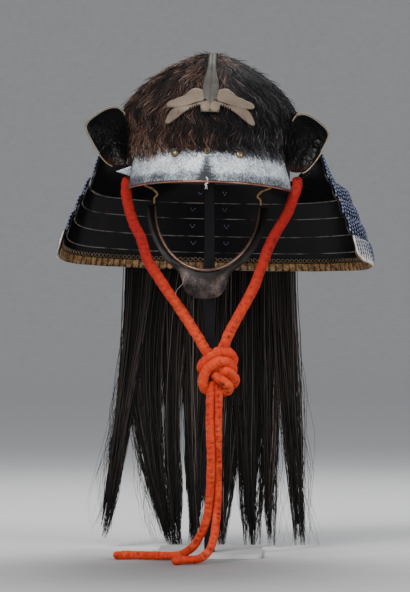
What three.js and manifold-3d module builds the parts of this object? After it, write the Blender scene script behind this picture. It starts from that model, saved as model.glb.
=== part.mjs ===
// A samurai helmet with a fur-covered bowl, silver visor, laced neck guard, chin guard, hair plume and
// padded chin cord, on a plain post stand. Millimetres, +Z up, front towards -Y, floor at z = 0.
import * as THREE from 'three';
import Module from 'manifold-3d';
import { mergeVertices } from 'three/addons/utils/BufferGeometryUtils.js';

const wasm = await Module();
wasm.setup();

// ---------------------------------------------------------------- driving dimensions
const GAP = 0.4; // clearance between touching pieces
const BOWL = {
  halfWidth: 111,
  halfLength: 126,
  centreY: 10,
  rimZ: 535,
  shoulderZ: 585,
  crownRise: 80,
  rimTuck: 0.975,
  wall: 2,
};
const FUR = { inner: 1.1, outer: 5.0, lockRise: 2.6, hemZ: 538.5, columns: 32, rows: 10 };
const BAND = { topZ: 534, bottomZ: 501, wall: 2 };
const HELMET_ROLL = THREE.MathUtils.degToRad(1.3); // the helmet sits slightly askew on its post
const ROLL_PIVOT_Z = 556;
const GUARD_TURN = THREE.MathUtils.degToRad(-8); // the neck guard hangs turned and to one side
const GUARD_SHIFT = 5.5;

const VISOR = {
  left: { angle: 58, reach: 7 }, // where each end stops and how far it stands off the bowl
  right: { angle: 60, reach: 14 },
  topZ: 536.5,
  frontZ: 495,
  endDrop: 7.4,
  topOffset: 2.6,
  frontReach: 24,
  wall: 2.1,
  rimRadius: 1.3,
};
const STUDS = [
  { name: 'visor_stud_left', angle: -21, along: 0.15, radius: 5.6, height: 3.6 },
  { name: 'visor_stud_right', angle: 21.3, along: 0.15, radius: 5.6, height: 3.6 },
  { name: 'visor_rivet_left', angle: -49, along: 0.3, radius: 2.6, height: 1.6 },
  { name: 'visor_rivet_right', angle: 53.8, along: 0.3, radius: 2.6, height: 1.6 },
];
const EYELET = { angle: 0, along: 0.08, bore: 2.2, radius: 4.2, height: 2.6 };

const LAME = { wall: 1.6, overlap: 5, step: 2.6, endAngle: 100, columns: 22, cornerArc: 9, cornerRise: 13 };
// One row for each horizontal edge of the neck guard, from the brow band down: half-width at the
// sides and at the two front ends, reach behind the bowl's centre, height at the rear, sides and ends.
const RINGS = [
  { side: 118, front: 147, rear: 132, rearZ: 504, sideZ: 506, frontZ: 543 },
  { side: 183, front: 161.4, rear: 150, rearZ: 476, sideZ: 481, frontZ: 497 },
  { side: 193.8, front: 171.8, rear: 163, rearZ: 455, sideZ: 459, frontZ: 475 },
  { side: 204.2, front: 181.8, rear: 176, rearZ: 431, sideZ: 436, frontZ: 452 },
  { side: 214.5, front: 192.5, rear: 189, rearZ: 409, sideZ: 413, frontZ: 428 },
  { side: 222.5, front: 205, rear: 200, rearZ: 385.5, sideZ: 388, frontZ: 398 },
];
const GILT_HEM = { from: 0.6, to: 0.97, wall: 1 };
const CORNER_BINDING = { from: 0.12, startAngle: 79, wall: 1.4 };

// The triangular tab beside the visor's left end, in front view.
const TAB = { outline: [[-99.6, 515.5], [-101.4, 501.5], [-120.5, 507.5]], y: -60.6, wall: 1.6 };

const EAR = { rimY: -62, lean: 0.12, hollow: 9, wall: 2.4, rimRadius: 1.4, centre: [129, 556] };
// Ear turn-back in front view, once round from its lower edge: x outwards, z up.
const EAR_OUTLINE = [
  [116, 516], [125, 517], [132.5, 521], [143.6, 534], [152.8, 548.7], [160.5, 566.5], [158, 573],
  [150, 580], [137, 588.5], [124, 592], [116.5, 589.5], [109, 576], [106.5, 560], [106, 540], [106, 527],
  [108.5, 518],
];
// How far each ear reaches out, as a share of the outline's, and how much lower it sits.
const EAR_SIDES = { '-1': { reach: 1, drop: 1 }, 1: { reach: 0.93, drop: 5 } };
const EAR_RIM_SPAN = [0.045, 0.66];
const EAR_TONGUE = [[109, -60], [106.5, -60], [106, -55], [100.6, -45], [105, -43], [110, -54]];
const EAR_TONGUE_Z = [518, 530];

const CREST = {
  shift: 2.7,
  standOff: 3.4,
  wall: 1.8,
  bodyRise: 3.2,
  groove: 1.2,
  eyeRadius: 5,
  eyeX: 6.6,
  eyeZ: 590.5,
};
// Dragonfly wings on the right: span from the body, top and bottom edge heights.
const UPPER_WING = [
  { x: 4, top: 615, bottom: 600 },
  { x: 12, top: 614.5, bottom: 598 },
  { x: 19, top: 616.3, bottom: 596 },
  { x: 27, top: 613.2, bottom: 593 },
  { x: 34, top: 606.3, bottom: 591 },
  { x: 41, top: 603.4, bottom: 589.5 },
  { x: 48, top: 600.3, bottom: 589.3 },
  { x: 54, top: 597.8, bottom: 589.8 },
  { x: 57.3, top: 594.5, bottom: 592 },
];
const LOWER_WING = [
  { x: 4, top: 600, bottom: 592 },
  { x: 14, top: 597, bottom: 592.5 },
  { x: 22, top: 594, bottom: 589 },
  { x: 28, top: 593, bottom: 586.5 },
  { x: 35, top: 592, bottom: 582 },
  { x: 42, top: 590.5, bottom: 576.3 },
  { x: 47, top: 589, bottom: 572.6 },
  { x: 52, top: 584.8, bottom: 569.3 },
  { x: 56, top: 578, bottom: 568.3 },
  { x: 58.3, top: 572, bottom: 569.3 },
];
// Dragonfly body from its tail at the crown down to the head.
const CREST_BODY = [
  { z: 669.5, half: 4.6 }, { z: 664, half: 5.1 }, { z: 656, half: 5.3 }, { z: 648, half: 5.6 },
  { z: 640, half: 6.8 }, { z: 634, half: 8 }, { z: 627, half: 9.5 }, { z: 617, half: 10.6 },
  { z: 607, half: 9.6 }, { z: 601, half: 9 }, { z: 597.5, half: 12.6 }, { z: 590, half: 12.8 },
  { z: 584, half: 11.6 },
];

const CHIN = {
  halfWidth: 72,
  rise: 88,
  rimZ: 377,
  frontY: -86,
  wrap: 60,
  cheekDepth: 8,
  chinDepth: 27,
  chinAngle: 18.5,
  bulge: 9,
  wall: 2.5,
  halfAngle: 90,
  rimRadius: 2.2,
};

const CORD = { radius: 6.9, tailRadius: 5.4, sides: 9, hiddenRadius: 5.5 };
// Chin cord, by hand, from where it leaves the brow band to the knot.
const CORD_LEFT = [
  [-107, -47, 503], [-108.6, -52, 492], [-107.7, -56, 477.5], [-103.6, -62, 459], [-98.2, -68, 442],
  [-87.6, -74, 420.5], [-79, -80, 393], [-62.6, -84, 367], [-42.5, -86, 338], [-24, -89, 310.5],
  [-12, -91.5, 291.5],
];
const CORD_RIGHT = [
  [115.5, -42, 503], [116.8, -48, 492], [113.6, -55, 481.5], [104.9, -62, 457.5], [91.7, -68, 434],
  [79.8, -74, 411.5], [70.5, -80, 386.5], [61, -84, 360.5], [44.5, -87, 329], [30.5, -89.5, 303],
  [26, -90.5, 294],
];
const TAIL_LEFT = [
  [3, -99.5, 213], [2.8, -100, 190], [3.2, -101, 160], [4, -102, 129], [3, -101.5, 103], [1.5, -100, 77],
  [-3, -97, 52], [-10, -93.5, 34], [-20, -88, 19], [-35, -79, 9], [-53, -68, 5.7], [-74, -57, 5.6],
  [-95, -50, 5.6], [-111, -50, 5.6], [-125, -56, 5.6],
];
const TAIL_RIGHT = [
  [14, -97, 213], [13.4, -95.5, 190], [12.8, -93.5, 160], [12.6, -92, 129], [12.6, -92, 103],
  [12, -94, 77], [10.5, -99, 52], [8, -106.5, 34], [2.5, -115, 17], [-7, -125, 8], [-20, -136, 5.6],
  [-34, -148, 5.6], [-44, -158, 5.6],
];
const KNOT_LOOPS = [
  [[-3, -86, 246], [-7.8, -94, 254.6], [-1, -101, 264], [8.7, -104.5, 271], [19.2, -103.5, 274.5],
    [28, -99, 272], [32.5, -92, 264.5], [29, -85, 256], [19, -81, 251], [8, -82, 250]],
  [[8, -84, 232], [2, -88, 224.5], [-3.5, -94, 226], [-6, -100, 234], [-5.2, -102.5, 242],
    [0, -105, 251], [9.5, -107.5, 258.5], [19.2, -106.5, 261.5], [27, -101, 258.5], [31.5, -93, 251.5],
    [28, -86, 244], [18, -83, 240]],
  [[9, -95, 252], [17, -102, 249.5], [25, -104, 247.5], [32, -100.5, 242], [34.5, -93.5, 236],
    [30, -86, 230.5], [20, -84, 229]],
  [[7, -97, 244], [12, -103, 240.5], [19, -106, 236], [26, -103, 229.5], [26, -96, 223.5],
    [18, -91, 222], [10, -92, 226]],
];
// Where each cord's end runs on inside the knot.
const KNOT_ENTRIES = [
  { cord: CORD_LEFT, at: 1, inside: [[-1, -92, 272], [7, -90, 262]] },
  { cord: CORD_RIGHT, at: 1, inside: [[20.5, -91, 281], [16, -89, 269]] },
  { cord: TAIL_LEFT, at: 0, inside: [[4, -98, 224], [7, -95, 236]], radius: 5.4 },
  { cord: TAIL_RIGHT, at: 0, inside: [[14, -96.5, 224], [14, -92, 238]], radius: 5.4 },
];

const PLUME = { topZ: 551, bottomZ: 383, topHalf: 92, bottomHalf: 115, clear: 17, topClear: 2, wall: 7, tipY: 186 };
// Hair locks: centre and width where they leave the neck guard, halfway down, and the tip.
const LOCKS = [
  { x: -100, width: 32, midX: -119, midWidth: 19, tipX: -150, tipZ: 24 },
  { x: -78, width: 46, midX: -92, midWidth: 46, tipX: -56, tipZ: 9 },
  { x: -50, width: 38, midX: -56, midWidth: 21, tipX: -50, tipZ: 6 },
  { x: -22, width: 40, midX: -24, midWidth: 31, tipX: -25, tipZ: 12 },
  { x: 6, width: 36, midX: 2, midWidth: 28, tipX: 6, tipZ: 26 },
  { x: 32, width: 40, midX: 25, midWidth: 27, tipX: 12, tipZ: 7 },
  { x: 56, width: 44, midX: 57, midWidth: 47, tipX: 55, tipZ: 7 },
  { x: 80, width: 36, midX: 78, midWidth: 21, tipX: 80, tipZ: 5 },
  { x: 97, width: 28, midX: 106, midWidth: 27, tipX: 121, tipZ: 5 },
];

const STAND = {
  post: 14,
  postTopZ: 640,
  padRadius: 38,
  padHeight: 22,
  footWidth: 140,
  footDepth: 200,
  footY: 60,
  footHeight: 6,
  footCorner: 18,
  arm: 8,
  armZ: 356,
};

// ---------------------------------------------------------------- materials
function finish(colour, roughness, metalness) {
  return new THREE.MeshStandardMaterial({ color: colour, roughness, metalness });
}

const MATERIALS = {
  iron: finish(0x2a2522, 0.55, 0.7),
  fur: finish(0x33261e, 0.95, 0),
  silver: finish(0xc3c7ca, 0.35, 0.9),
  copper: finish(0x8a5646, 0.4, 0.8),
  brass: finish(0xab9677, 0.45, 0.85),
  lacquer: finish(0x0d0c0f, 0.25, 0),
  leather: finish(0x16100f, 0.45, 0),
  gilt: finish(0xa87d4e, 0.5, 0.4),
  whiteBinding: finish(0xe8e3d6, 0.8, 0),
  russet: finish(0x4a332c, 0.3, 0.3),
  redCloth: finish(0xc4321c, 0.85, 0),
  ochreCord: finish(0x8f6a3a, 0.8, 0),
  hair: finish(0x17110e, 0.7, 0),
  blackPaint: finish(0x121214, 0.5, 0),
  greyPaint: finish(0xb9b9b7, 0.6, 0),
};

// ---------------------------------------------------------------- general solids
const vec = (x, y, z) => new THREE.Vector3(x, y, z);
const radians = THREE.MathUtils.degToRad;
const mix = THREE.MathUtils.lerp;
const smooth = (value, low, high) => THREE.MathUtils.smoothstep(value, low, high);

// Closed geometry from points and triangles: equal points are merged, flat triangles dropped, and the
// faces turned to point out.
function closedGeometry(points, triangles) {
  const keys = new Map();
  const kept = [];
  const place = points.map((point) => {
    const key = [point.x, point.y, point.z].map((value) => value.toFixed(3)).join();
    if (!keys.has(key)) {
      keys.set(key, kept.length);
      kept.push(point);
    }
    return keys.get(key);
  });
  let faces = triangles.map((face) => face.map((corner) => place[corner]));
  faces = faces.filter(([a, b, c]) => a !== b && b !== c && c !== a);
  let volume = 0;
  for (const [a, b, c] of faces) volume += kept[a].dot(vec(0, 0, 0).crossVectors(kept[b], kept[c]));
  if (volume < 0) faces = faces.map(([a, b, c]) => [a, c, b]);
  const geometry = new THREE.BufferGeometry();
  geometry.setAttribute('position', new THREE.Float32BufferAttribute(kept.flatMap((p) => p.toArray()), 3));
  geometry.setIndex(faces.flat());
  geometry.computeVertexNormals();
  return geometry;
}

// The wall between two skins, each a function of u and v from 0 to 1. A wrapped wall closes on itself
// in u; any other gets end faces.
function wall(outer, inner, columns, rows, wrapped = false) {
  const across = wrapped ? columns : columns + 1;
  const skins = [outer, inner];
  const points = [];
  for (const skin of skins)
    for (let i = 0; i < across; i++)
      for (let j = 0; j <= rows; j++) points.push(skin(i / columns, j / rows));
  const at = (skin, i, j) => (skin * across + (i % across)) * (rows + 1) + j;
  const triangles = [];
  const quad = (a, b, c, d) => triangles.push([a, b, c], [a, c, d]);
  for (let i = 0; i < columns; i++) {
    for (let j = 0; j < rows; j++) {
      quad(at(0, i, j), at(0, i + 1, j), at(0, i + 1, j + 1), at(0, i, j + 1));
      quad(at(1, i, j), at(1, i, j + 1), at(1, i + 1, j + 1), at(1, i + 1, j));
    }
    quad(at(0, i + 1, 0), at(0, i, 0), at(1, i, 0), at(1, i + 1, 0));
    quad(at(0, i, rows), at(0, i + 1, rows), at(1, i + 1, rows), at(1, i, rows));
  }
  if (!wrapped) {
    for (let j = 0; j < rows; j++) {
      quad(at(0, 0, j), at(0, 0, j + 1), at(1, 0, j + 1), at(1, 0, j));
      quad(at(0, columns, j + 1), at(0, columns, j), at(1, columns, j), at(1, columns, j + 1));
    }
  }
  return closedGeometry(points, triangles);
}

// A loft through rings of points, all rings of one length, closed at both ends by a fan.
function loft(rings) {
  const sides = rings[0].length;
  const points = rings.flat();
  const triangles = [];
  for (let ring = 0; ring + 1 < rings.length; ring++) {
    for (let side = 0; side < sides; side++) {
      const next = (side + 1) % sides;
      const low = ring * sides;
      const high = low + sides;
      triangles.push([low + side, low + next, high + next], [low + side, high + next, high + side]);
    }
  }
  const last = (rings.length - 1) * sides;
  for (let side = 1; side + 1 < sides; side++) {
    triangles.push([0, side + 1, side], [last, last + side, last + side + 1]);
  }
  return closedGeometry(points, triangles);
}

function curve(points) {
  return new THREE.CatmullRomCurve3(points.map((p) => vec(...p)), false, 'centripetal');
}

function tube(points, radius, sides, steps) {
  const path = curve(points);
  const corners = [];
  for (let side = 0; side < sides; side++) {
    const angle = (side * 2 * Math.PI) / sides;
    corners.push(new THREE.Vector2(radius * Math.cos(angle), radius * Math.sin(angle)));
  }
  return new THREE.ExtrudeGeometry(new THREE.Shape(corners), { steps, extrudePath: path });
}

function solidOf(geometry) {
  const plain = new THREE.BufferGeometry();
  plain.setAttribute('position', geometry.getAttribute('position').clone());
  if (geometry.index) plain.setIndex(geometry.index.clone());
  const merged = mergeVertices(plain, 1e-3);
  const mesh = new wasm.Mesh({
    numProp: 3,
    vertProperties: new Float32Array(merged.attributes.position.array),
    triVerts: new Uint32Array(merged.index.array),
  });
  return new wasm.Manifold(mesh);
}

// One solid from several that meet.
function unite(...geometries) {
  const solid = geometries.map(solidOf).reduce((whole, piece) => whole.add(piece));
  const mesh = solid.getMesh();
  const geometry = new THREE.BufferGeometry();
  const positions = new THREE.Float32BufferAttribute(Array.from(mesh.vertProperties), 3);
  geometry.setAttribute('position', positions);
  geometry.setIndex(Array.from(mesh.triVerts));
  geometry.computeVertexNormals();
  return geometry;
}

function add(group, name, geometry, material) {
  const mesh = new THREE.Mesh(geometry, material);
  mesh.name = name;
  group.add(mesh);
  return mesh;
}

// A value between the rows of a table, by one column.
function lookUp(table, column, by, value) {
  const rising = table[table.length - 1][by] > table[0][by];
  const rows = rising ? table : [...table].reverse();
  const next = rows.findIndex((row) => row[by] >= value);
  if (next <= 0) return next === 0 ? rows[0][column] : rows[rows.length - 1][column];
  const low = rows[next - 1];
  const high = rows[next];
  return mix(low[column], high[column], (value - low[by]) / (high[by] - low[by]));
}

// ---------------------------------------------------------------- bowl, fur and brow band
// The bowl's plan is an ellipse; its shoulder rises to the crown as a superellipse of power 1.5.
// The angle runs from the front, positive towards +X.
function planPoint(angle, offset, spread, z) {
  const x = (BOWL.halfWidth + offset) * spread * Math.sin(angle);
  const y = BOWL.centreY - (BOWL.halfLength + offset) * spread * Math.cos(angle);
  return vec(x, y, z);
}

// Along 0 is the rim, SHOULDER the shoulder, CAP the lower edge of the cap and 1 the top.
const SHOULDER = 0.3;
const CAP = 0.6;

function domePoint(angle, along, offset, rimZ) {
  if (along <= SHOULDER) {
    const share = along / SHOULDER;
    const tuck = mix(BOWL.rimTuck, 1, Math.sin((share * Math.PI) / 2));
    return planPoint(angle, offset, tuck, mix(rimZ, BOWL.shoulderZ, share));
  }
  const turn = ((along - SHOULDER) / (1 - SHOULDER)) * (Math.PI / 2);
  const spread = Math.max(Math.cos(turn), 0) ** (4 / 3);
  const rise = (BOWL.crownRise + offset) * Math.sin(turn) ** (4 / 3);
  return planPoint(angle, offset, along >= 1 ? 0 : spread, BOWL.shoulderZ + rise);
}

// Depth of the dome's front face behind a point of the front view.
function domeFrontY(x, z, offset) {
  const rise = Math.max((z - BOWL.shoulderZ) / (BOWL.crownRise + offset), 0);
  const spread = Math.max(1 - rise ** 1.5, 0) ** (2 / 3);
  const sine = Math.min(Math.abs(x) / Math.max((BOWL.halfWidth + offset) * spread, 1e-6), 1);
  return BOWL.centreY - (BOWL.halfLength + offset) * spread * Math.sqrt(1 - sine * sine);
}

// The bowl is three courses: an upright wall, a crown above the shoulder and a cap.
function bowlPart(from, to, rows) {
  const skin = (offset) => (u, v) => domePoint(u * 2 * Math.PI, mix(from, to, v), offset, BOWL.rimZ);
  return wall(skin(0), skin(-BOWL.wall), 26, rows, true);
}

// Fur locks in staggered courses: each lock is a ridge that stands further out towards its tip.
function furCover() {
  const { columns, rows } = FUR;
  const lock = (u, v) => {
    const column = Math.round(u * columns);
    const course = Math.floor((v * rows) / 2);
    const ridge = (column + course) % 2 === 0 ? 1 : 0;
    const tip = Math.round(v * rows) % 2 === 0 ? 1 : 0.35;
    const unevenness = 0.75 + 0.25 * Math.sin(column * 2.7 + course * 1.9);
    return v >= 1 ? 0 : FUR.lockRise * ridge * tip * unevenness;
  };
  const outer = (u, v) => domePoint(u * 2 * Math.PI, v, FUR.outer + lock(u, v), FUR.hemZ);
  const inner = (u, v) => domePoint(u * 2 * Math.PI, v, FUR.inner, FUR.hemZ);
  return wall(outer, inner, columns, rows, true);
}

function browBand() {
  const at = (offset) => (u, v) =>
    planPoint(u * 2 * Math.PI, offset, BOWL.rimTuck, mix(BAND.topZ, BAND.bottomZ, v));
  return wall(at(0), at(-BAND.wall), 32, 1, true);
}

// ---------------------------------------------------------------- visor
// Across runs from -1 to 1, along from the upper edge to the lower.
function visorPoint(across, along, inset) {
  const end = across < 0 ? VISOR.left : VISOR.right;
  const angle = radians(end.angle) * across;
  const reach = mix(end.reach, VISOR.frontReach, Math.cos(1.2 * angle) ** 2);
  const lowerZ = VISOR.frontZ - VISOR.endDrop * across ** 2;
  const offset = VISOR.topOffset + reach * along ** 1.15 - inset;
  return planPoint(angle, offset, 1, mix(VISOR.topZ, lowerZ, along));
}

function visor() {
  const skin = (inset) => (u, v) => visorPoint(2 * u - 1, v, inset);
  return wall(skin(0), skin(VISOR.wall), 20, 3);
}

function visorRim() {
  const points = [];
  for (let step = -8; step <= 8; step++) {
    const point = visorPoint(step / 8.02, 1, VISOR.wall / 2);
    points.push([point.x, point.y, point.z - VISOR.rimRadius - GAP]);
  }
  return tube(points, VISOR.rimRadius, 6, 20);
}

// Sets a turned piece, modelled standing on z = 0, on the visor with its axis square to the surface.
function setOnVisor(mesh, angle, along) {
  const across = angle / (angle < 0 ? VISOR.left : VISOR.right).angle;
  const base = visorPoint(across, along, 0);
  const sideways = visorPoint(across + 0.02, along, 0).sub(base);
  const downward = visorPoint(across, along + 0.02, 0).sub(base);
  const outward = sideways.cross(downward).normalize();
  if (outward.y > 0) outward.negate();
  mesh.position.copy(base.addScaledVector(outward, GAP));
  mesh.quaternion.setFromUnitVectors(vec(0, 0, 1), outward);
}

function templeTab() {
  const shape = new THREE.Shape(TAB.outline.map(([x, z]) => new THREE.Vector2(x, z)));
  const plate = new THREE.ExtrudeGeometry(shape, { depth: TAB.wall, bevelEnabled: false });
  return plate.rotateX(Math.PI / 2).translate(0, TAB.y + TAB.wall, 0);
}

// LatheGeometry turns a profile about +Y; this stands it up along +Z.
function turned(profile, sides) {
  const points = profile.map(([radius, height]) => new THREE.Vector2(radius, height));
  return new THREE.LatheGeometry(points, sides).rotateX(Math.PI / 2);
}

function studGeometry({ radius, height }) {
  const profile = [[0, 0], [radius, 0], [radius * 0.94, height * 0.4], [radius * 0.6, height * 0.86], [0, height]];
  return turned(profile, 10);
}

function eyeletGeometry({ bore, radius, height }) {
  const profile = [[bore, 0], [radius, 0], [radius * 0.9, height * 0.7], [(bore + radius) / 2, height],
    [bore, height * 0.8], [bore, 0]];
  return turned(profile, 12);
}

// ---------------------------------------------------------------- neck guard
// A point of one of the guard's horizontal edges; the angle runs from the rear, positive towards +X.
function ringPoint(ring, angle) {
  const turn = Math.abs(angle);
  const forward = smooth(turn, 66, LAME.endAngle);
  const half = mix(ring.side, ring.front, forward);
  const levelZ = mix(ring.rearZ, ring.sideZ, smooth(turn, 20, 80));
  const x = half * Math.sin(radians(angle));
  const y = BOWL.centreY + ring.rear * Math.cos(radians(angle));
  return vec(x, y, mix(levelZ, ring.frontZ, smooth(turn, 58, LAME.endAngle)));
}

// Along 0 is a lame's top edge, which laps behind the lame above, and 1 its bottom edge, whose front
// corners are rounded. The inset is measured level, towards the bowl.
function lamePoint(number, angle, along, inset) {
  const above = RINGS[number - 1];
  const top = ringPoint(above, angle);
  const bottom = ringPoint(RINGS[number], angle);
  const step = number === 1 ? 0 : LAME.step;
  const lap = number === 1 ? 0 : LAME.overlap;
  const outward = vec(top.x, top.y - BOWL.centreY, 0).normalize();
  top.addScaledVector(outward, step);
  top.z += lap;
  const corner = Math.max(1 - (LAME.endAngle - Math.abs(angle)) / LAME.cornerArc, 0);
  const rise = LAME.cornerRise * (1 - Math.sqrt(1 - corner ** 2));
  bottom.lerp(top, Math.min(rise / (top.z - bottom.z), 0.6));
  return top.lerp(bottom, along).addScaledVector(outward, -inset);
}

function lamePatch(number, angles, spans, insets, columns, rows) {
  const skin = (inset) => (u, v) =>
    lamePoint(number, mix(angles[0], angles[1], u), mix(spans[0], spans[1], v), inset);
  return wall(skin(insets[0]), skin(insets[1]), columns, rows);
}

function lame(number) {
  const { endAngle, columns } = LAME;
  return lamePatch(number, [-endAngle, endAngle], [0, 1], [0, LAME.wall], columns, 2);
}

function giltHem() {
  const end = LAME.endAngle - 2;
  const inset = LAME.wall + 2.5 * GAP;
  return lamePatch(5, [-end, end], [GILT_HEM.from, GILT_HEM.to], [inset, inset + GILT_HEM.wall], LAME.columns, 1);
}

function cornerBinding(side) {
  const angles = [side * CORNER_BINDING.startAngle, side * LAME.endAngle];
  const insets = [-GAP - CORNER_BINDING.wall, -GAP];
  return lamePatch(5, angles, [CORNER_BINDING.from, 1], insets, 5, 2);
}

// ---------------------------------------------------------------- ear turn-backs
function earBoundary() {
  const corners = EAR_OUTLINE.map(([x, z]) => vec(x, 0, z));
  return new THREE.CatmullRomCurve3(corners, true, 'centripetal');
}

// A point of the front view, sized and lowered for its side, at a depth behind the rim.
function earPlace(x, z, depth, side) {
  const { reach, drop } = EAR_SIDES[side];
  const root = EAR_OUTLINE[13][0];
  const out = (x - root) * reach;
  return vec(side * (root + out), EAR.rimY + depth + EAR.lean * out, z - drop);
}

function earPoint(boundary, round, inward, depth, side) {
  const [centreX, centreZ] = EAR.centre;
  const edge = boundary.getPointAt(round % 1);
  const hollow = EAR.hollow * (1 - (1 - inward) ** 2);
  return earPlace(mix(edge.x, centreX, inward), mix(edge.z, centreZ, inward), hollow + depth, side);
}

function earTurnBack(side) {
  const boundary = earBoundary();
  const front = (u, v) => earPoint(boundary, u, v, 0, side);
  const back = (u, v) => earPoint(boundary, u, v, EAR.wall, side);
  const dish = wall(front, back, 24, 3, true);
  const tongue = new THREE.Shape(EAR_TONGUE.map(([x, y]) => new THREE.Vector2(side * x, y)));
  const [low, high] = EAR_TONGUE_Z;
  const block = new THREE.ExtrudeGeometry(tongue, { depth: high - low, bevelEnabled: false });
  return unite(dish, block.translate(0, 0, low - EAR_SIDES[side].drop));
}

function earRim(side) {
  const boundary = earBoundary();
  const [centreX, centreZ] = EAR.centre;
  const points = [];
  for (let step = 0; step <= 16; step++) {
    const round = mix(EAR_RIM_SPAN[0], EAR_RIM_SPAN[1], step / 16);
    const edge = boundary.getPointAt(round);
    const away = vec(edge.x - centreX, 0, edge.z - centreZ).normalize();
    edge.addScaledVector(away, EAR.rimRadius + GAP + 0.4);
    points.push(earPlace(edge.x, edge.z, EAR.wall / 2, side).toArray());
  }
  return tube(points, EAR.rimRadius, 6, 18);
}

// ---------------------------------------------------------------- dragonfly crest
function crestSkin(x, z, height) {
  const offset = FUR.outer + CREST.standOff + height;
  return vec(x + CREST.shift, domeFrontY(x + CREST.shift, z, offset), z);
}

function crestWing(table, side) {
  const last = table[table.length - 1].x;
  const skin = (height) => (u, v) => {
    const x = mix(table[0].x, last, u);
    const z = mix(lookUp(table, 'top', 'x', x), lookUp(table, 'bottom', 'x', x), v);
    return crestSkin(side * x, z, height);
  };
  return wall(skin(CREST.wall), skin(0), 5, 2);
}

function crestBody() {
  const top = CREST_BODY[0].z;
  const bottom = CREST_BODY[CREST_BODY.length - 1].z;
  const place = (u, v, raised) => {
    const z = mix(top, bottom, v);
    const across = 2 * u - 1;
    const crown = raised ? CREST.bodyRise * (1 - across ** 4) + CREST.wall : 0;
    const groove = raised && Math.abs(across) < 0.1 ? CREST.groove : 0;
    return crestSkin(across * lookUp(CREST_BODY, 'half', 'z', z), z, crown - groove);
  };
  return wall((u, v) => place(u, v, true), (u, v) => place(u, v, false), 6, 11);
}

function crestEye(side) {
  const centre = crestSkin(side * CREST.eyeX, CREST.eyeZ, CREST.wall + CREST.bodyRise * 0.6);
  return new THREE.SphereGeometry(CREST.eyeRadius, 6, 4).translate(centre.x, centre.y, centre.z);
}

function dragonflyCrest() {
  const wings = [-1, 1].flatMap((side) => [crestWing(UPPER_WING, side), crestWing(LOWER_WING, side)]);
  return unite(crestBody(), ...wings, crestEye(-1), crestEye(1));
}

// ---------------------------------------------------------------- chin guard
// The rim is half an ellipse in front view, wrapping back towards the cheeks. Down 0 is the rim and 1
// the lower edge, which stands further out below the chin.
function chinPoint(across, down, inset) {
  const turn = radians(CHIN.halfAngle) * across;
  const prominence = Math.exp(-((Math.abs(turn) / radians(CHIN.chinAngle)) ** 4));
  const depth = (CHIN.cheekDepth + CHIN.chinDepth * prominence) * down;
  const x = CHIN.halfWidth * Math.sin(turn);
  const z = CHIN.rimZ + CHIN.rise * (1 - Math.cos(turn));
  const outward = vec(Math.sin(turn) / CHIN.halfWidth, 0, -Math.cos(turn) / CHIN.rise).normalize();
  const bulge = CHIN.bulge * Math.sin(Math.PI * (0.15 + 0.6 * down)) * (0.4 + 0.6 * prominence);
  const y = CHIN.frontY + CHIN.wrap * (1 - Math.cos(turn)) - bulge;
  const face = vec(-Math.sin(turn) * 0.55, 1, 0).normalize();
  return vec(x + outward.x * depth, y, z + outward.z * depth).addScaledVector(face, inset);
}

function chinGuard() {
  const skin = (inset) => (u, v) => chinPoint(2 * u - 1, v, inset);
  return wall(skin(0), skin(CHIN.wall), 22, 3);
}

function chinGuardRim() {
  const points = [];
  for (let step = -10; step <= 10; step++) {
    const edge = chinPoint(step / 10.02, 0, CHIN.wall / 2);
    const inner = edge.clone().sub(chinPoint(step / 10.02, 0.05, CHIN.wall / 2)).setY(0).normalize();
    edge.addScaledVector(inner, CHIN.rimRadius + GAP + 0.2);
    points.push(edge.toArray());
  }
  return tube(points, CHIN.rimRadius, 6, 20);
}

// The tie that hangs the chin guard's cheek from the brow band.
function cheekTie(side) {
  const cheek = chinPoint(side, 0, CHIN.wall / 2);
  const points = [
    [side * 88, -24, 499], [side * 82, -34, 491], [side * 73, -40, 487], [side * 66, -40, 480],
    [side * 70, -32, 475], [cheek.x - side * 1, cheek.y, cheek.z + 4],
  ];
  return tube(points, 1.6, 6, 10);
}

// ---------------------------------------------------------------- chin cord
function hiddenCord() {
  const points = [];
  for (let angle = 62; angle <= 298; angle += 14.75) {
    points.push(planPoint(radians(angle), -BAND.wall - CORD.hiddenRadius - 2.2, BOWL.rimTuck, 518).toArray());
  }
  return tube(points, CORD.hiddenRadius, 7, 18);
}

// The stretch of a cord from just past its own end to inside the knot.
function knotEntry({ cord, at, inside, radius = CORD.radius }) {
  const path = curve(cord);
  const away = path.getTangent(at).multiplyScalar(at === 0 ? -1 : 1);
  const points = [0.7, 5].map((reach) => path.getPoint(at).addScaledVector(away, reach).toArray());
  return tube([...points, ...inside], radius, 6, 4);
}

function knot() {
  const loops = KNOT_LOOPS.map((points) => tube(points, CORD.radius, 6, points.length));
  return unite(...loops, ...KNOT_ENTRIES.map(knotEntry));
}

// ---------------------------------------------------------------- hair plume
// Depth of a face hung clear of the fur, then of the neck guard, at a place behind the helmet.
function rearY(x, z) {
  const clear = mix(PLUME.topClear, PLUME.clear, smooth(-z, -540, -505));
  const fur = { side: BOWL.halfWidth + FUR.outer + FUR.lockRise, rear: BOWL.halfLength + FUR.outer + FUR.lockRise };
  const table = [{ ...fur, rearZ: 560 }, { ...fur, rearZ: 530 }, ...RINGS];
  const side = lookUp(table, 'side', 'rearZ', z) + clear;
  const rear = lookUp(table, 'rear', 'rearZ', z) + clear;
  return BOWL.centreY + rear * Math.sqrt(Math.max(1 - (x / side) ** 2, 0.05));
}

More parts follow.
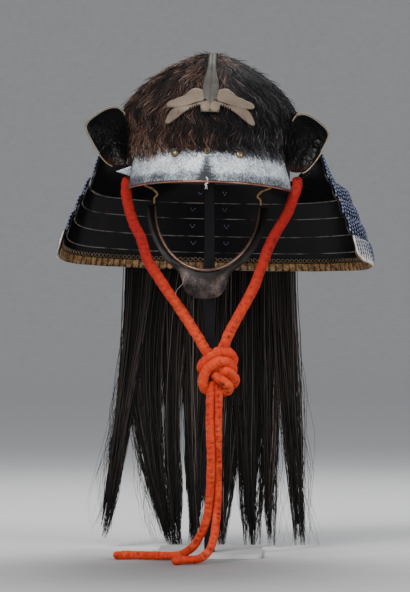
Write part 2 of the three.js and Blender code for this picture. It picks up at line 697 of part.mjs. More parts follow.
function plumeHeading() {
  const place = (u, v, depth) => {
    const z = mix(PLUME.topZ, PLUME.bottomZ, v);
    const x = (2 * u - 1) * mix(PLUME.topHalf, PLUME.bottomHalf, v);
    const ridge = Math.round(u * 14) % 2 === 0 ? 1.5 : 0;
    return vec(x, rearY(x, z) + depth + (depth > 0 ? ridge : 0), z);
  };
  return wall((u, v) => place(u, v, PLUME.wall), (u, v) => place(u, v, 0), 14, 5);
}

function hairLock({ x, width, midX, midWidth, tipX, tipZ }) {
  const top = PLUME.bottomZ + 16;
  const topY = rearY(x, PLUME.bottomZ) + PLUME.wall / 2;
  const middle = (top + tipZ) / 2;
  const path = new THREE.QuadraticBezierCurve3(
    vec(x, topY, top),
    vec(2 * midX - (x + tipX) / 2, topY, middle),
    vec(tipX, mix(topY, PLUME.tipY, 0.7), tipZ),
  );
  const rings = [];
  for (const share of [0, 0.16, 0.34, 0.54, 0.74, 0.92, 1]) {
    const centre = path.getPoint(share);
    const spread = share < 0.5 ? mix(width, midWidth, share * 2) : midWidth * Math.sqrt(2 * (1 - share) + 0.004);
    const thick = mix(7.5, 3.5, share) * (share < 0.96 ? 1 : 0.4);
    const ring = [];
    for (let side = 0; side < 6; side++) {
      const angle = (side * Math.PI) / 3;
      ring.push(vec(centre.x + (spread / 2) * Math.cos(angle), centre.y + thick * Math.sin(angle), centre.z));
    }
    rings.push(ring);
  }
  return loft(rings);
}

// ---------------------------------------------------------------- display stand
function standPost() {
  const { post, postTopZ, padRadius, padHeight, footHeight, arm, armZ } = STAND;
  const low = footHeight + GAP;
  const column = new THREE.BoxGeometry(post, post, postTopZ - low).translate(0, BOWL.centreY, (postTopZ + low) / 2);
  const underCrown = (radius) =>
    BOWL.shoulderZ + (BOWL.crownRise - BOWL.wall) * (1 - (radius / BOWL.halfWidth) ** 1.5) ** (2 / 3) - 2;
  const radii = [padRadius, padRadius * 0.75, padRadius * 0.5, padRadius * 0.25, 0];
  const base = underCrown(padRadius) - padHeight;
  const profile = [[0, base], [padRadius * 0.8, base], ...radii.map((radius) => [radius, underCrown(radius)])];
  const pad = turned(profile, 20).translate(0, BOWL.centreY, 0);
  const chinBack = CHIN.frontY + CHIN.wall + GAP;
  const reach = BOWL.centreY - chinBack;
  const bracket = new THREE.BoxGeometry(arm, reach, arm).translate(0, BOWL.centreY - reach / 2, armZ);
  return unite(column, pad, bracket);
}

function standFoot() {
  const { footWidth, footDepth, footY, footHeight, footCorner } = STAND;
  const [x, y] = [footWidth / 2, footDepth / 2];
  const shape = new THREE.Shape();
  shape.moveTo(x - footCorner, -y);
  shape.absarc(x - footCorner, footCorner - y, footCorner, -Math.PI / 2, 0, false);
  shape.absarc(x - footCorner, y - footCorner, footCorner, 0, Math.PI / 2, false);
  shape.absarc(footCorner - x, y - footCorner, footCorner, Math.PI / 2, Math.PI, false);
  shape.absarc(footCorner - x, footCorner - y, footCorner, Math.PI, Math.PI * 1.5, false);
  const plate = new THREE.ExtrudeGeometry(shape, { depth: footHeight, bevelEnabled: false, curveSegments: 4 });
  return plate.translate(0, footY, 0);
}

// ---------------------------------------------------------------- assembly
const object = new THREE.Group();
const rolled = new THREE.Group();
rolled.position.z = ROLL_PIVOT_Z;
rolled.rotation.y = HELMET_ROLL;
object.add(rolled);
const helmet = new THREE.Group();
helmet.position.z = -ROLL_PIVOT_Z;
rolled.add(helmet);
const guardPivot = new THREE.Group();
guardPivot.position.y = BOWL.centreY;
guardPivot.rotation.z = GUARD_TURN;
helmet.add(guardPivot);
const neckGuard = new THREE.Group();
neckGuard.position.set(GUARD_SHIFT, -BOWL.centreY, 0);
guardPivot.add(neckGuard);

const seam = (SHOULDER * GAP) / (BOWL.shoulderZ - BOWL.rimZ); // the gap between courses, as a share of the dome
add(helmet, 'bowl_wall', bowlPart(0, SHOULDER - seam, 2), MATERIALS.iron);
add(helmet, 'bowl_crown', bowlPart(SHOULDER, CAP - seam, 3), MATERIALS.iron);
add(helmet, 'bowl_cap', bowlPart(CAP, 1, 2), MATERIALS.iron);
add(helmet, 'fur_cover', furCover(), MATERIALS.fur);
add(helmet, 'brow_band', browBand(), MATERIALS.iron);
add(helmet, 'visor', visor(), MATERIALS.silver);
add(helmet, 'visor_rim', visorRim(), MATERIALS.copper);
for (const stud of STUDS) {
  setOnVisor(add(helmet, stud.name, studGeometry(stud), MATERIALS.brass), stud.angle, stud.along);
}
setOnVisor(add(helmet, 'visor_eyelet', eyeletGeometry(EYELET), MATERIALS.brass), EYELET.angle, EYELET.along);
add(helmet, 'temple_tab', templeTab(), MATERIALS.silver);
add(helmet, 'dragonfly_crest', dragonflyCrest(), MATERIALS.brass);

for (let number = 1; number < RINGS.length; number++) {
  add(neckGuard, `neck_lame_${number}`, lame(number), MATERIALS.lacquer);
}
add(neckGuard, 'gilt_hem', giltHem(), MATERIALS.gilt);

for (const [side, hand] of [[-1, 'left'], [1, 'right']]) {
  add(helmet, `ear_turn_back_${hand}`, earTurnBack(side), MATERIALS.leather);
  add(helmet, `ear_rim_${hand}`, earRim(side), MATERIALS.gilt);
  add(neckGuard, `corner_binding_${hand}`, cornerBinding(side), MATERIALS.whiteBinding);
  add(helmet, `cheek_tie_${hand}`, cheekTie(side), MATERIALS.ochreCord);
}
add(helmet, 'chin_guard', chinGuard(), MATERIALS.russet);
add(helmet, 'chin_guard_rim', chinGuardRim(), MATERIALS.silver);

add(helmet, 'chin_cord_hidden', hiddenCord(), MATERIALS.redCloth);
add(object, 'chin_cord_left', tube(CORD_LEFT, CORD.radius, CORD.sides, 12), MATERIALS.redCloth);
add(object, 'chin_cord_right', tube(CORD_RIGHT, CORD.radius, CORD.sides, 12), MATERIALS.redCloth);
add(object, 'chin_cord_knot', knot(), MATERIALS.redCloth);
add(object, 'chin_cord_tail_left', tube(TAIL_LEFT, CORD.tailRadius, CORD.sides, 18), MATERIALS.redCloth);
add(object, 'chin_cord_tail_right', tube(TAIL_RIGHT, CORD.tailRadius, CORD.sides, 15), MATERIALS.redCloth);

add(object, 'hair_plume', unite(plumeHeading(), ...LOCKS.map(hairLock)), MATERIALS.hair);
add(object, 'stand_post', standPost(), MATERIALS.blackPaint);
add(object, 'stand_foot', standFoot(), MATERIALS.greyPaint);

export default object;
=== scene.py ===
"""Looks of a fur-covered samurai helmet on a plain post stand.

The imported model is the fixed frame. Each class below builds and dresses one sub-assembly over it, in
metres, with +Z up and the helmet facing -Y. Tables are in millimetres and are scaled where they are read.
"""

import logging
import math
from dataclasses import dataclass, field
from enum import Enum
from typing import Any

import bpy
import numpy as np
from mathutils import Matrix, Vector


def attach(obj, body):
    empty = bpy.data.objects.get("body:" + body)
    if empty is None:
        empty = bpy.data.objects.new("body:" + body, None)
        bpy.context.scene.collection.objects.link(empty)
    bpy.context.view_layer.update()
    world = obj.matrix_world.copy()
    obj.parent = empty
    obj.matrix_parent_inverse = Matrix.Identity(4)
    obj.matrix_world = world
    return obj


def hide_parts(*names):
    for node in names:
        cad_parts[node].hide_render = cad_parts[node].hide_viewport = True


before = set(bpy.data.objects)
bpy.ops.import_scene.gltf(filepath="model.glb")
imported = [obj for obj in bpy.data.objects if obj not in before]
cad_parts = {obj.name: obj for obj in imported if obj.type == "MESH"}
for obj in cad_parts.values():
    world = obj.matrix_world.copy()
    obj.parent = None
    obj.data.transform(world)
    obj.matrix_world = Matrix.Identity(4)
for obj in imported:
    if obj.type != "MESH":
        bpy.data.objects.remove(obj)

LOG = logging.getLogger("helmet")
MM = 0.001
BODY = "root"
Array = np.ndarray
Numbers = np.ndarray | float
Colour = tuple[float, float, float]
Spot = tuple[float, float, float]
Table = tuple[tuple[float, ...], ...]


class Side(Enum):
    """Which side of the helmet, as someone sees it who looks at its front."""

    LEFT = -1
    RIGHT = 1

    @property
    def label(self) -> str:
        """The side's word in piece names."""
        return self.name.lower()


# ---- curves and tables


def cubic(t: Array, start: Array, leave: Array, end: Array, arrive: Array) -> Array:
    """The cubic from start to end for t from 0 to 1, with the slopes leave and arrive at its ends."""
    away = start * (2 * t**3 - 3 * t**2 + 1) + leave * (t**3 - 2 * t**2 + t)
    return away + end * (3 * t**2 - 2 * t**3) + arrive * (t**3 - t**2)


def hermite(table: Array, value: Array) -> Array:
    """Reads a smooth curve through rows of (key, reading, ...).

    Between two rows the reading is a cubic whose slopes are the mean of the chords on both sides.

    Args:
        table: Rows of a rising key and one or more readings.
        value: Keys to read at; those outside the table take its end rows.

    Returns:
        The readings, one column for each column after the key.
    """
    keys, readings = table[:, 0], table[:, 1:]
    slopes = np.gradient(readings, keys, axis=0)
    place = np.clip(value, keys[0], keys[-1])
    row = np.clip(np.searchsorted(keys, place, side="right") - 1, 0, len(keys) - 2)
    span = keys[row + 1] - keys[row]
    t = ((place - keys[row]) / span)[..., None]
    step = span[..., None]
    return cubic(t, readings[row], slopes[row] * step, readings[row + 1], slopes[row + 1] * step)


def smooth_path(points: Array, count: int, closed: bool = False) -> Array:
    """Runs a centripetal spline through points and spaces samples evenly along it.

    Each stretch is the cubic whose end slopes weigh the neighbouring chords by the square roots of
    their lengths.

    Args:
        points: Points to pass through, (n, 3).
        count: Number of samples.
        closed: Whether the line comes back to its first point.

    Returns:
        Samples, (count, 3).
    """
    if closed:
        padded = np.vstack([points[-1], points, points[0], points[1]])
    else:
        padded = np.vstack([2 * points[0] - points[1], points, 2 * points[-1] - points[-2]])
    steps = np.sqrt(np.linalg.norm(np.diff(padded, axis=0), axis=1)).clip(1e-6)[:, None]
    before, along, after = steps[:-2], steps[1:-1], steps[2:]
    p0, p1, p2, p3 = padded[:-3], padded[1:-2], padded[2:-1], padded[3:]
    m1 = ((p1 - p0) / before - (p2 - p0) / (before + along) + (p2 - p1) / along) * along
    m2 = ((p2 - p1) / along - (p3 - p1) / (along + after) + (p3 - p2) / after) * along
    t = np.linspace(0, 1, 24, endpoint=False)[None, :, None]
    dense = cubic(t, *(part[:, None, :] for part in (p1, m1, p2, m2))).reshape(-1, 3)
    dense = np.vstack([dense, points[0] if closed else points[-1]])
    travelled = np.concatenate([[0], np.cumsum(np.linalg.norm(np.diff(dense, axis=0), axis=1))])
    marks = np.linspace(0, travelled[-1], count, endpoint=not closed)
    return np.stack([np.interp(marks, travelled, dense[:, axis]) for axis in range(3)], -1)


def path_length(points: Array) -> float:
    """Sum of the distances from point to point."""
    return float(np.linalg.norm(np.diff(points, axis=0), axis=1).sum())


def unit(vectors: Array) -> Array:
    """Vectors scaled to length 1."""
    return vectors / np.linalg.norm(vectors, axis=-1, keepdims=True).clip(1e-12)


def ease(value: Array, low: float, high: float) -> Array:
    """Smooth step: 0 up to low, 1 from high, 3t^2 - 2t^3 between."""
    t = np.clip((value - low) / (high - low), 0, 1)
    return t * t * (3 - 2 * t)


def ripple(x: Array, y: Array, seed: int, octaves: int = 4) -> Array:
    """Uneven waves between about -1 and 1: a sum of sines turned and shifted by a seeded draw.

    Args:
        x: Places along.
        y: Places across.
        seed: Which waves.
        octaves: How many sines.

    Returns:
        Heights of the waves.
    """
    draw = np.random.default_rng(seed)
    total = np.zeros(np.broadcast(x, y).shape)
    for octave in range(octaves):
        angle, shift, other = draw.uniform(0, 2 * np.pi, 3)
        scale = 1.9**octave
        line = (x * math.cos(angle) + y * math.sin(angle)) * scale
        cross = (y * math.cos(angle) - x * math.sin(angle)) * scale
        total += np.sin(line + shift + 0.9 * np.sin(cross * 0.7 + other)) / 1.45**octave
    return total / 2.2


# ---- meshes


class MeshParts:
    """Gathers closed surfaces into one mesh, with a flow map and a tone for each point."""

    def __init__(self) -> None:
        """Starts with nothing in it."""
        self.points: list[Array] = []
        self.quads: list[Array] = []
        self.quad_maps: list[Array] = []
        self.triangles: list[Array] = []
        self.triangle_maps: list[Array] = []
        self.tones: list[Array] = []
        self.count = 0

    def add(
        self,
        points: Array,
        quads: Array,
        triangles: Array,
        quad_map: Array,
        triangle_map: Array,
        tone: Numbers,
    ) -> None:
        """Adds one closed surface, turned so that its faces point out.

        The sign of the volume, the sum of a . (b x c) over its triangles, tells which way it faces.

        Args:
            points: Its points, (n, 3).
            quads: Four point numbers a face, (q, 4).
            triangles: Three point numbers a face, (t, 3).
            quad_map: Flow map of each quad's corners, (q, 4, 2).
            triangle_map: Flow map of each triangle's corners, (t, 3, 2).
            tone: One number a point, or one for all.
        """
        halves = np.vstack([quads[:, [0, 1, 2]], quads[:, [0, 2, 3]], triangles])
        a, b, c = (points[halves[:, corner]] - points.mean(0) for corner in range(3))
        if np.einsum("ij,ij->i", a, np.cross(b, c)).sum() < 0:
            quads, quad_map = quads[:, ::-1], quad_map[:, ::-1]
            triangles, triangle_map = triangles[:, ::-1], triangle_map[:, ::-1]
        self.points.append(points)
        self.quads.append(quads + self.count)
        self.triangles.append(triangles + self.count)
        self.quad_maps.append(quad_map)
        self.triangle_maps.append(triangle_map)
        self.tones.append(np.broadcast_to(tone, len(points)))
        self.count += len(points)

    def shell(
        self,
        outer: Array,
        inner: Array,
        size: tuple[float, float],
        around: bool = False,
        tone: Numbers = 0.0,
    ) -> None:
        """Adds the wall between two skins given on one grid, with its edges closed.

        Args:
            outer: Points of the outer skin, (columns, rows, 3).
            inner: Points of the inner skin, on the same grid.
            size: Width and height of its flow map, in metres.
            around: Whether the columns close on themselves.
            tone: One number a grid point, or one for all.
        """
        columns, rows = outer.shape[:2]
        number = np.arange(2 * columns * rows).reshape(2, columns, rows)
        if around:
            number = np.concatenate([number, number[:, :1]], axis=1)
        flow = plain_flow(columns + around, rows, *size)
        maps = np.stack([flow, flow])
        low, high = slice(None, -1), slice(1, None)
        faces, corners = [], []
        for skin, turn in ((0, 1), (1, -1)):
            order = [(low, low), (high, low), (high, high), (low, high)][::turn]
            faces.append(np.stack([number[skin][p].ravel() for p in order], -1))
            corners.append(np.stack([maps[skin][p].reshape(-1, 2) for p in order], 1))
        edges = [(number[:, :, 0], maps[:, :, 0], 1), (number[:, :, -1], maps[:, :, -1], -1)]
        if not around:
            edges += [(number[:, 0], maps[:, 0], -1), (number[:, -1], maps[:, -1], 1)]
        for edge, edge_map, turn in edges:
            order = [(1, low), (1, high), (0, high), (0, low)][::turn]
            faces.append(np.stack([edge[p] for p in order], -1))
            corners.append(np.stack([edge_map[p] for p in order], 1))
        points = np.concatenate([outer.reshape(-1, 3), inner.reshape(-1, 3)])
        shade = np.broadcast_to(tone, (columns, rows)).ravel()
        none = np.zeros((0, 3), int)
        self.add(points, np.vstack(faces), none, np.vstack(corners), np.zeros((0, 3, 2)), np.tile(shade, 2))

    def rings(self, rings: Array, flow: Array, tone: Numbers = 0.0) -> None:
        """Adds lofts through rings of points, flat at both ends.

        Args:
            rings: Points, (lofts, rings, sides, 3).
            flow: Flow map, (lofts, rings, sides + 1, 2).
            tone: One number for each ring, (lofts, rings), for each point, or for all.
        """
        lofts, length, sides = rings.shape[:3]
        shade = np.asarray(tone, float)
        shade = shade[..., None] if shade.ndim == 2 else shade
        number = np.arange(lofts * length * sides).reshape(lofts, length, sides)
        wrapped = np.concatenate([number, number[..., :1]], axis=2)
        low, high = slice(None, -1), slice(1, None)
        order = [(low, low), (low, high), (high, high), (high, low)]
        quads = np.stack([wrapped[:, i, j].ravel() for i, j in order], -1)
        quad_map = np.stack([flow[:, i, j].reshape(-1, 2) for i, j in order], 1)
        side = np.arange(1, sides - 1)
        fan = np.stack([np.zeros_like(side), side, side + 1], -1)
        first, last = number[:, 0][:, fan[:, ::-1]], number[:, -1][:, fan]
        triangles = np.concatenate([first.reshape(-1, 3), last.reshape(-1, 3)])
        caps = [flow[:, 0][:, fan[:, ::-1]].reshape(-1, 3, 2), flow[:, -1][:, fan].reshape(-1, 3, 2)]
        shade = np.broadcast_to(shade, (lofts, length, sides)).ravel()
        self.add(rings.reshape(-1, 3), quads, triangles, quad_map, np.concatenate(caps), shade)

    def tubes(
        self,
        paths: Array,
        radius: Numbers,
        sides: int,
        tone: Numbers = 0.0,
        facing: Array | None = None,
        flatten: float = 1.0,
    ) -> None:
        """Adds tubes along paths.

        A ring is centre + radius (cos a * across + flatten sin a * up). With facing given, across is
        square to it and to the path; without, the ring is carried along by the least turn.

        Args:
            paths: Centrelines, (tubes, points, 3), or (points, 3) for one.
            radius: One, (tubes, points), or (tubes, points, sides).
            sides: Corners of a ring.
            tone: One number for each path point, each ring's point, or for all.
            facing: Direction that the flat face looks in, broadcast to the paths.
            flatten: Thickness over width.
        """
        paths = paths[None] if paths.ndim == 2 else paths
        tubes, length = paths.shape[:2]
        tangent = unit(np.gradient(paths, axis=1))
        if facing is None:
            across = carried(tangent)
        else:
            across = unit(np.cross(tangent, np.broadcast_to(facing, paths.shape)))
        up = np.cross(tangent, across)
        angle = np.arange(sides) * 2 * np.pi / sides
        reach = np.asarray(radius, float)
        if reach.ndim < 3:
            reach = np.broadcast_to(reach, (tubes, length))[..., None]
        reach = np.broadcast_to(reach, (tubes, length, sides))[..., None]
        cosine, sine = np.cos(angle)[:, None], np.sin(angle)[:, None]
        spread = cosine * across[:, :, None] + flatten * sine * up[:, :, None]
        gone = np.linalg.norm(np.diff(paths, axis=1), axis=2).cumsum(1)
        gone = np.concatenate([np.zeros((tubes, 1)), gone], axis=1)
        turn = np.arange(sides + 1) / sides
        flow = np.stack(np.broadcast_arrays(turn[None, None], gone[..., None]), -1)
        self.rings(paths[:, :, None] + reach * spread, flow, tone)

    def build(self, name: str) -> bpy.types.Object:
        """Makes the object, with its flow map as UVs and its tone as a point attribute.

        Args:
            name: The object's name.

        Returns:
            The object, linked to the scene.
        """
        points = np.vstack(self.points).astype(np.float32)
        quads, triangles = np.vstack(self.quads), np.vstack(self.triangles)
        corners = np.concatenate([quads.ravel(), triangles.ravel()]).astype(np.int32)
        starts = np.concatenate([np.arange(len(quads)) * 4, len(quads) * 4 + np.arange(len(triangles)) * 3])
        mesh = bpy.data.meshes.new(name)
        mesh.vertices.add(len(points))
        mesh.vertices.foreach_set("co", points.ravel())
        mesh.loops.add(len(corners))
        mesh.loops.foreach_set("vertex_index", corners)
        mesh.polygons.add(len(starts))
        mesh.polygons.foreach_set("loop_start", starts.astype(np.int32))
        maps = [np.vstack(self.quad_maps).reshape(-1, 2), np.vstack(self.triangle_maps).reshape(-1, 2)]
        mesh.uv_layers.new(name="flow").data.foreach_set("uv", np.vstack(maps).astype(np.float32).ravel())
        tone = mesh.attributes.new("tone", "FLOAT", "POINT")
        tone.data.foreach_set("value", np.concatenate(self.tones).astype(np.float32))
        mesh.update(calc_edges=True)
        mesh.validate()
        mesh.shade_smooth()
        piece = bpy.data.objects.new(name, mesh)
        bpy.context.scene.collection.objects.link(piece)
        return piece


def carried(tangent: Array) -> Array:
    """Directions square to each path that turn as little as they can along it.

    Each step takes the last direction less its share along the new tangent, for all paths at once.

    Args:
        tangent: Unit tangents, (paths, points, 3).

    Returns:
        Unit directions, (paths, points, 3).
    """
    start = np.where(np.abs(tangent[:, :1, 2:]) < 0.8, [0.0, 0.0, 1.0], [1.0, 0.0, 0.0])
    across = [unit(np.cross(tangent[:, 0], start[:, 0]))]
    for step in range(1, tangent.shape[1]):
        along = tangent[:, step]
        across.append(unit(across[-1] - along * np.sum(across[-1] * along, -1, keepdims=True)))
    return np.stack(across, 1)


def grid(
    columns: int, rows: int, low: float = 0.0, high: float = 1.0, around: bool = False
) -> tuple[Array, Array]:
    """Two arrays of parameters over a grid; a wrapped grid leaves out its last column."""
    across = np.linspace(low, high, columns, endpoint=not around)
    return np.meshgrid(across, np.linspace(0, 1, rows), indexing="ij")


def plain_flow(columns: int, rows: int, width: float, height: float) -> Array:
    """A flow map in metres over a grid of that many columns and rows."""
    u, v = np.meshgrid(np.linspace(0, width, columns), np.linspace(0, height, rows), indexing="ij")
    return np.stack([u, v], -1)


# ---- material nodes


class Value:
    """A number that varies over a surface; Python's operators on it add Math nodes."""

    def __init__(self, nodes: "Nodes", socket: Any) -> None:
        """Wraps an output socket of the material that nodes builds."""
        self.nodes, self.socket = nodes, socket

    def _math(self, operation: str, *inputs: Any, **settings: Any) -> "Value":
        """Adds one Math node on the given numbers or values.

        Args:
            operation: The node's operation.
            inputs: Numbers or values.
            settings: Its other settings.

        Returns:
            The result.
        """
        numbers = {index: item for index, item in enumerate(inputs)}
        node = self.nodes.make("ShaderNodeMath", {"operation": operation, **settings}, numbers)
        return Value(self.nodes, node.outputs[0])

    def __add__(self, other: Any) -> "Value":
        """self + other."""
        return self._math("ADD", self, other)

    __radd__ = __add__

    def __sub__(self, other: Any) -> "Value":
        """self - other."""
        return self._math("SUBTRACT", self, other)

    def __rsub__(self, other: Any) -> "Value":
        """other - self."""
        return self._math("SUBTRACT", other, self)

    def __mul__(self, other: Any) -> "Value":
        """self * other."""
        return self._math("MULTIPLY", self, other)

    __rmul__ = __mul__

    def __abs__(self) -> "Value":
        """The value without its sign."""
        return self._math("ABSOLUTE", self)

    def sine(self) -> "Value":
        """Sine of the value in radians."""
        return self._math("SINE", self)

    def fraction(self) -> "Value":
        """What is left over the whole number."""
        return self._math("FRACT", self)

    def clamped(self) -> "Value":
        """The value held between 0 and 1."""
        return self._math("ADD", self, 0.0, use_clamp=True)

    def stepped(self, low: float, high: float) -> "Value":
        """Smooth step from 0 at low to 1 at high; low may be the greater.

        Args:
            low: Where the step starts.
            high: Where it ends.

        Returns:
            The step.
        """
        if low > high:
            return 1.0 - self.stepped(high, low)
        node = self.nodes.make(
            "ShaderNodeMapRange", {"interpolation_type": "SMOOTHSTEP"}, {"Value": self, 1: low, 2: high}
        )
        return Value(self.nodes, node.outputs[0])


class Nodes:
    """Builds one material's nodes from expressions."""

    def __init__(self, name: str) -> None:
        """Starts an empty material of that name.

        Args:
            name: The material's name.
        """
        self.material = bpy.data.materials.new(name)
        self.material.use_nodes = True
        self.tree = self.material.node_tree
        self.tree.nodes.clear()

    def make(self, kind: str, settings: dict[str, Any], inputs: dict[Any, Any]) -> bpy.types.Node:
        """Adds a node.

        Args:
            kind: The node's type.
            settings: Its settings, set before its sockets; stops are a ramp's (place, colour) pairs.
            inputs: Socket names or numbers, with the value or link of each.

        Returns:
            The node.
        """
        node = self.tree.nodes.new(kind)
        for name, setting in settings.items():
            if name == "stops":
                for place, colour in setting[2:]:
                    node.color_ramp.elements.new(place)
                for element, (place, colour) in zip(node.color_ramp.elements, sorted(setting)):
                    element.position, element.color = place, (*colour, 1.0)
            else:
                setattr(node, name, setting)
        for key, item in inputs.items():
            source = item.socket if isinstance(item, Value) else item
            if isinstance(source, bpy.types.NodeSocket):
                self.tree.links.new(source, node.inputs[key])
            else:
                node.inputs[key].default_value = source
        return node

    def place(self) -> Any:
        """Place on the object, in metres."""
        return self.make("ShaderNodeTexCoord", {}, {}).outputs["Object"]

    def flow(self) -> Any:
        """The piece's own flow map."""
        return self.make("ShaderNodeUVMap", {"uv_map": "flow"}, {}).outputs[0]

    def stretched(self, vector: Any, scale: Spot) -> Any:
        """A place scaled by its axes."""
        return self.make("ShaderNodeMapping", {}, {"Vector": vector, "Scale": scale}).outputs[0]

    def parts(self, vector: Any) -> tuple[Value, Value, Value]:
        """The three numbers of a vector."""
        node = self.make("ShaderNodeSeparateXYZ", {}, {0: vector})
        return tuple(Value(self, output) for output in node.outputs)

    def tone(self) -> Value:
        """The tone that the piece's points carry."""
        return Value(self, self.make("ShaderNodeAttribute", {"attribute_name": "tone"}, {}).outputs["Fac"])

    def noise(self, vector: Any, scale: float, detail: float = 3.0, roughness: float = 0.55) -> Value:
        """Noise from 0 to 1 at a place."""
        inputs = {"Vector": vector, "Scale": scale, "Detail": detail, "Roughness": roughness}
        return Value(self, self.make("ShaderNodeTexNoise", {}, inputs).outputs[0])

    def cells(self, vector: Any, scale: float, feature: str = "F1") -> Value:
        """Distance to the nearest point of a scatter, or to the edge between two."""
        node = self.make("ShaderNodeTexVoronoi", {"feature": feature}, {"Vector": vector, "Scale": scale})
        return Value(self, node.outputs["Distance"])

    def ramp(self, value: Value, *stops: tuple[float, Colour]) -> Any:
        """A colour read from stops."""
        return self.make("ShaderNodeValToRGB", {"stops": list(stops)}, {0: value}).outputs[0]

    def blend(self, share: Value, first: Any, second: Any) -> Any:
        """A colour between two, by share.

        Args:
            share: How much of the second.
            first: A colour or link.
            second: Another.

        Returns:
            The colour socket.
        """
        inputs = {0: share}
        for index, colour in ((6, first), (7, second)):
            inputs[index] = (*colour, 1.0) if isinstance(colour, tuple) else colour
        return self.make("ShaderNodeMix", {"data_type": "RGBA"}, inputs).outputs[2]

    def bump(self, height: Value, strength: float, distance: float) -> Any:
        """A normal from a height in the units of distance."""
        inputs = {"Height": height, "Strength": strength, "Distance": distance}
        return self.make("ShaderNodeBump", {}, inputs).outputs[0]

    def done(self, **inputs: Any) -> bpy.types.Material:
        """Ends the material in a Principled shader with those inputs; underscores stand for spaces.

        Args:
            inputs: The shader's inputs.

        Returns:
            The material.
        """
        sockets = {}
        for name, item in inputs.items():
            item = (*item, 1.0) if isinstance(item, tuple) and len(item) == 3 else item
            sockets[name.replace("_", " ")] = item
        shader = self.make("ShaderNodeBsdfPrincipled", {}, sockets)
        self.make("ShaderNodeOutputMaterial", {}, {0: shader.outputs[0]})
        return self.material


@dataclass(frozen=True)
class Finish:
    """What every finish has: a name and its main colour."""

    name: str
    colour: Colour

    def material(self) -> bpy.types.Material:
        """The finish's material, made once.

        Returns:
            The material.
        """
        name = f"{self.name}_finish"
        return bpy.data.materials.get(name) or self.paint(Nodes(name))

    def paint(self, nodes: Nodes) -> bpy.types.Material:
        """Builds the nodes."""
        raise NotImplementedError


@dataclass(frozen=True)
class Metal(Finish):
    """Old metal: stains by slow noise, specks by fine noise, both in colour and roughness."""

    stain: Colour = (0.1, 0.08, 0.06)
    roughness: float = 0.4
    metallic: float = 0.9
    speckle: float = 900.0
    stained: float = 0.5
    bump: float = 0.2

    def paint(self, nodes: Nodes) -> bpy.types.Material:
        """Mixes the stain over the metal where slow and fine noise agree.

        Args:
            nodes: The material's nodes.

        Returns:
            The material.
        """
        place = nodes.place()
        slow = nodes.noise(place, 45.0, 4.0, 0.6)
        fine = nodes.noise(place, self.speckle, 3.0, 0.6)
        stained = (slow * 0.6 + fine * 0.4).stepped(0.42, 0.66) * self.stained
        return nodes.done(
            Base_Color=nodes.blend(stained, self.colour, self.stain),
            Roughness=(self.roughness - 0.1 + 0.2 * fine + 0.15 * stained).clamped(),
            Metallic=self.metallic,
            Normal=nodes.bump(fine * 0.6 + slow, self.bump, 0.0006),
        )


@dataclass(frozen=True)
class Speckled(Finish):
    """Bright worn silvering: pale blotches, dark pits and grey clouds, and darker where the tone paints
    shade.
    """

    stops: tuple[tuple[float, Colour], ...] = (
        (0.15, (0.03, 0.034, 0.04)), (0.38, (0.2, 0.22, 0.25)), (0.62, (0.62, 0.66, 0.7)),
        (0.85, (0.98, 0.99, 1.0)),
    )

    def paint(self, nodes: Nodes) -> bpy.types.Material:
        """Clouds of grey under a fine grain and pits; the tone, which is painted shade, takes brightness
        away.

        Args:
            nodes: The material's nodes.

        Returns:
            The material.
        """
        place = nodes.place()
        clouds = nodes.noise(place, 30.0, 5.0, 0.65)
        grain = nodes.noise(nodes.stretched(place, (1.0, 1.0, 0.7)), 430.0, 3.0, 0.75)
        pits = nodes.noise(place, 900.0, 2.0, 0.5).stepped(0.58, 0.7)
        value = (clouds * 0.9 + grain * 1.25 - 0.44 - 0.6 * nodes.tone()).clamped()
        colour = nodes.ramp(value, *self.stops)
        return nodes.done(
            Base_Color=nodes.blend(pits * 0.6, colour, (0.12, 0.13, 0.15)),
            Roughness=(0.3 + 0.3 * grain).clamped(),
            Metallic=0.25,
            Normal=nodes.bump(grain + clouds * 0.8, 0.4, 0.001),
        )


@dataclass(frozen=True)
class Lacquer(Finish):
    """Glossy lacquer on plates: dust, faint red where it wears, and a pale line at the edge that is partly
    worn lacquer and partly a painted highlight.
    """

    # Colour of the edge line: worn lacquer and a painted highlight where the edge catches the light.
    worn: Colour = (0.36, 0.32, 0.28)
    red: Colour = (0.035, 0.007, 0.006)
    roughness: float = 0.22

    def paint(self, nodes: Nodes) -> bpy.types.Material:
        """The tone is 1 on the edge line, partly wear and partly painted highlight; noise breaks the line and
        spreads the red.

        Args:
            nodes: The material's nodes.

        Returns:
            The material.
        """
        place = nodes.place()
        slow = nodes.noise(place, 22.0, 4.0, 0.6)
        fine = nodes.noise(place, 420.0, 3.0, 0.6)
        red = slow.stepped(0.56, 0.72) * 0.4
        base = nodes.blend(red, self.colour, self.red)
        broken = nodes.noise(nodes.stretched(place, (1.0, 1.0, 0.3)), 38.0, 3.0, 0.6)
        # Edge line: worn lacquer and painted highlight.
        edge = nodes.tone() * broken.stepped(0.34, 0.62)
        return nodes.done(
            Base_Color=nodes.blend(edge, base, self.worn),
            Roughness=(self.roughness + 0.18 * slow + 0.1 * fine).clamped(),
            Specular_IOR_Level=0.14,
            Coat_Weight=0.04,
            Coat_Roughness=0.12,
            Normal=nodes.bump(slow + fine * 0.15, 0.12, 0.0012),
        )


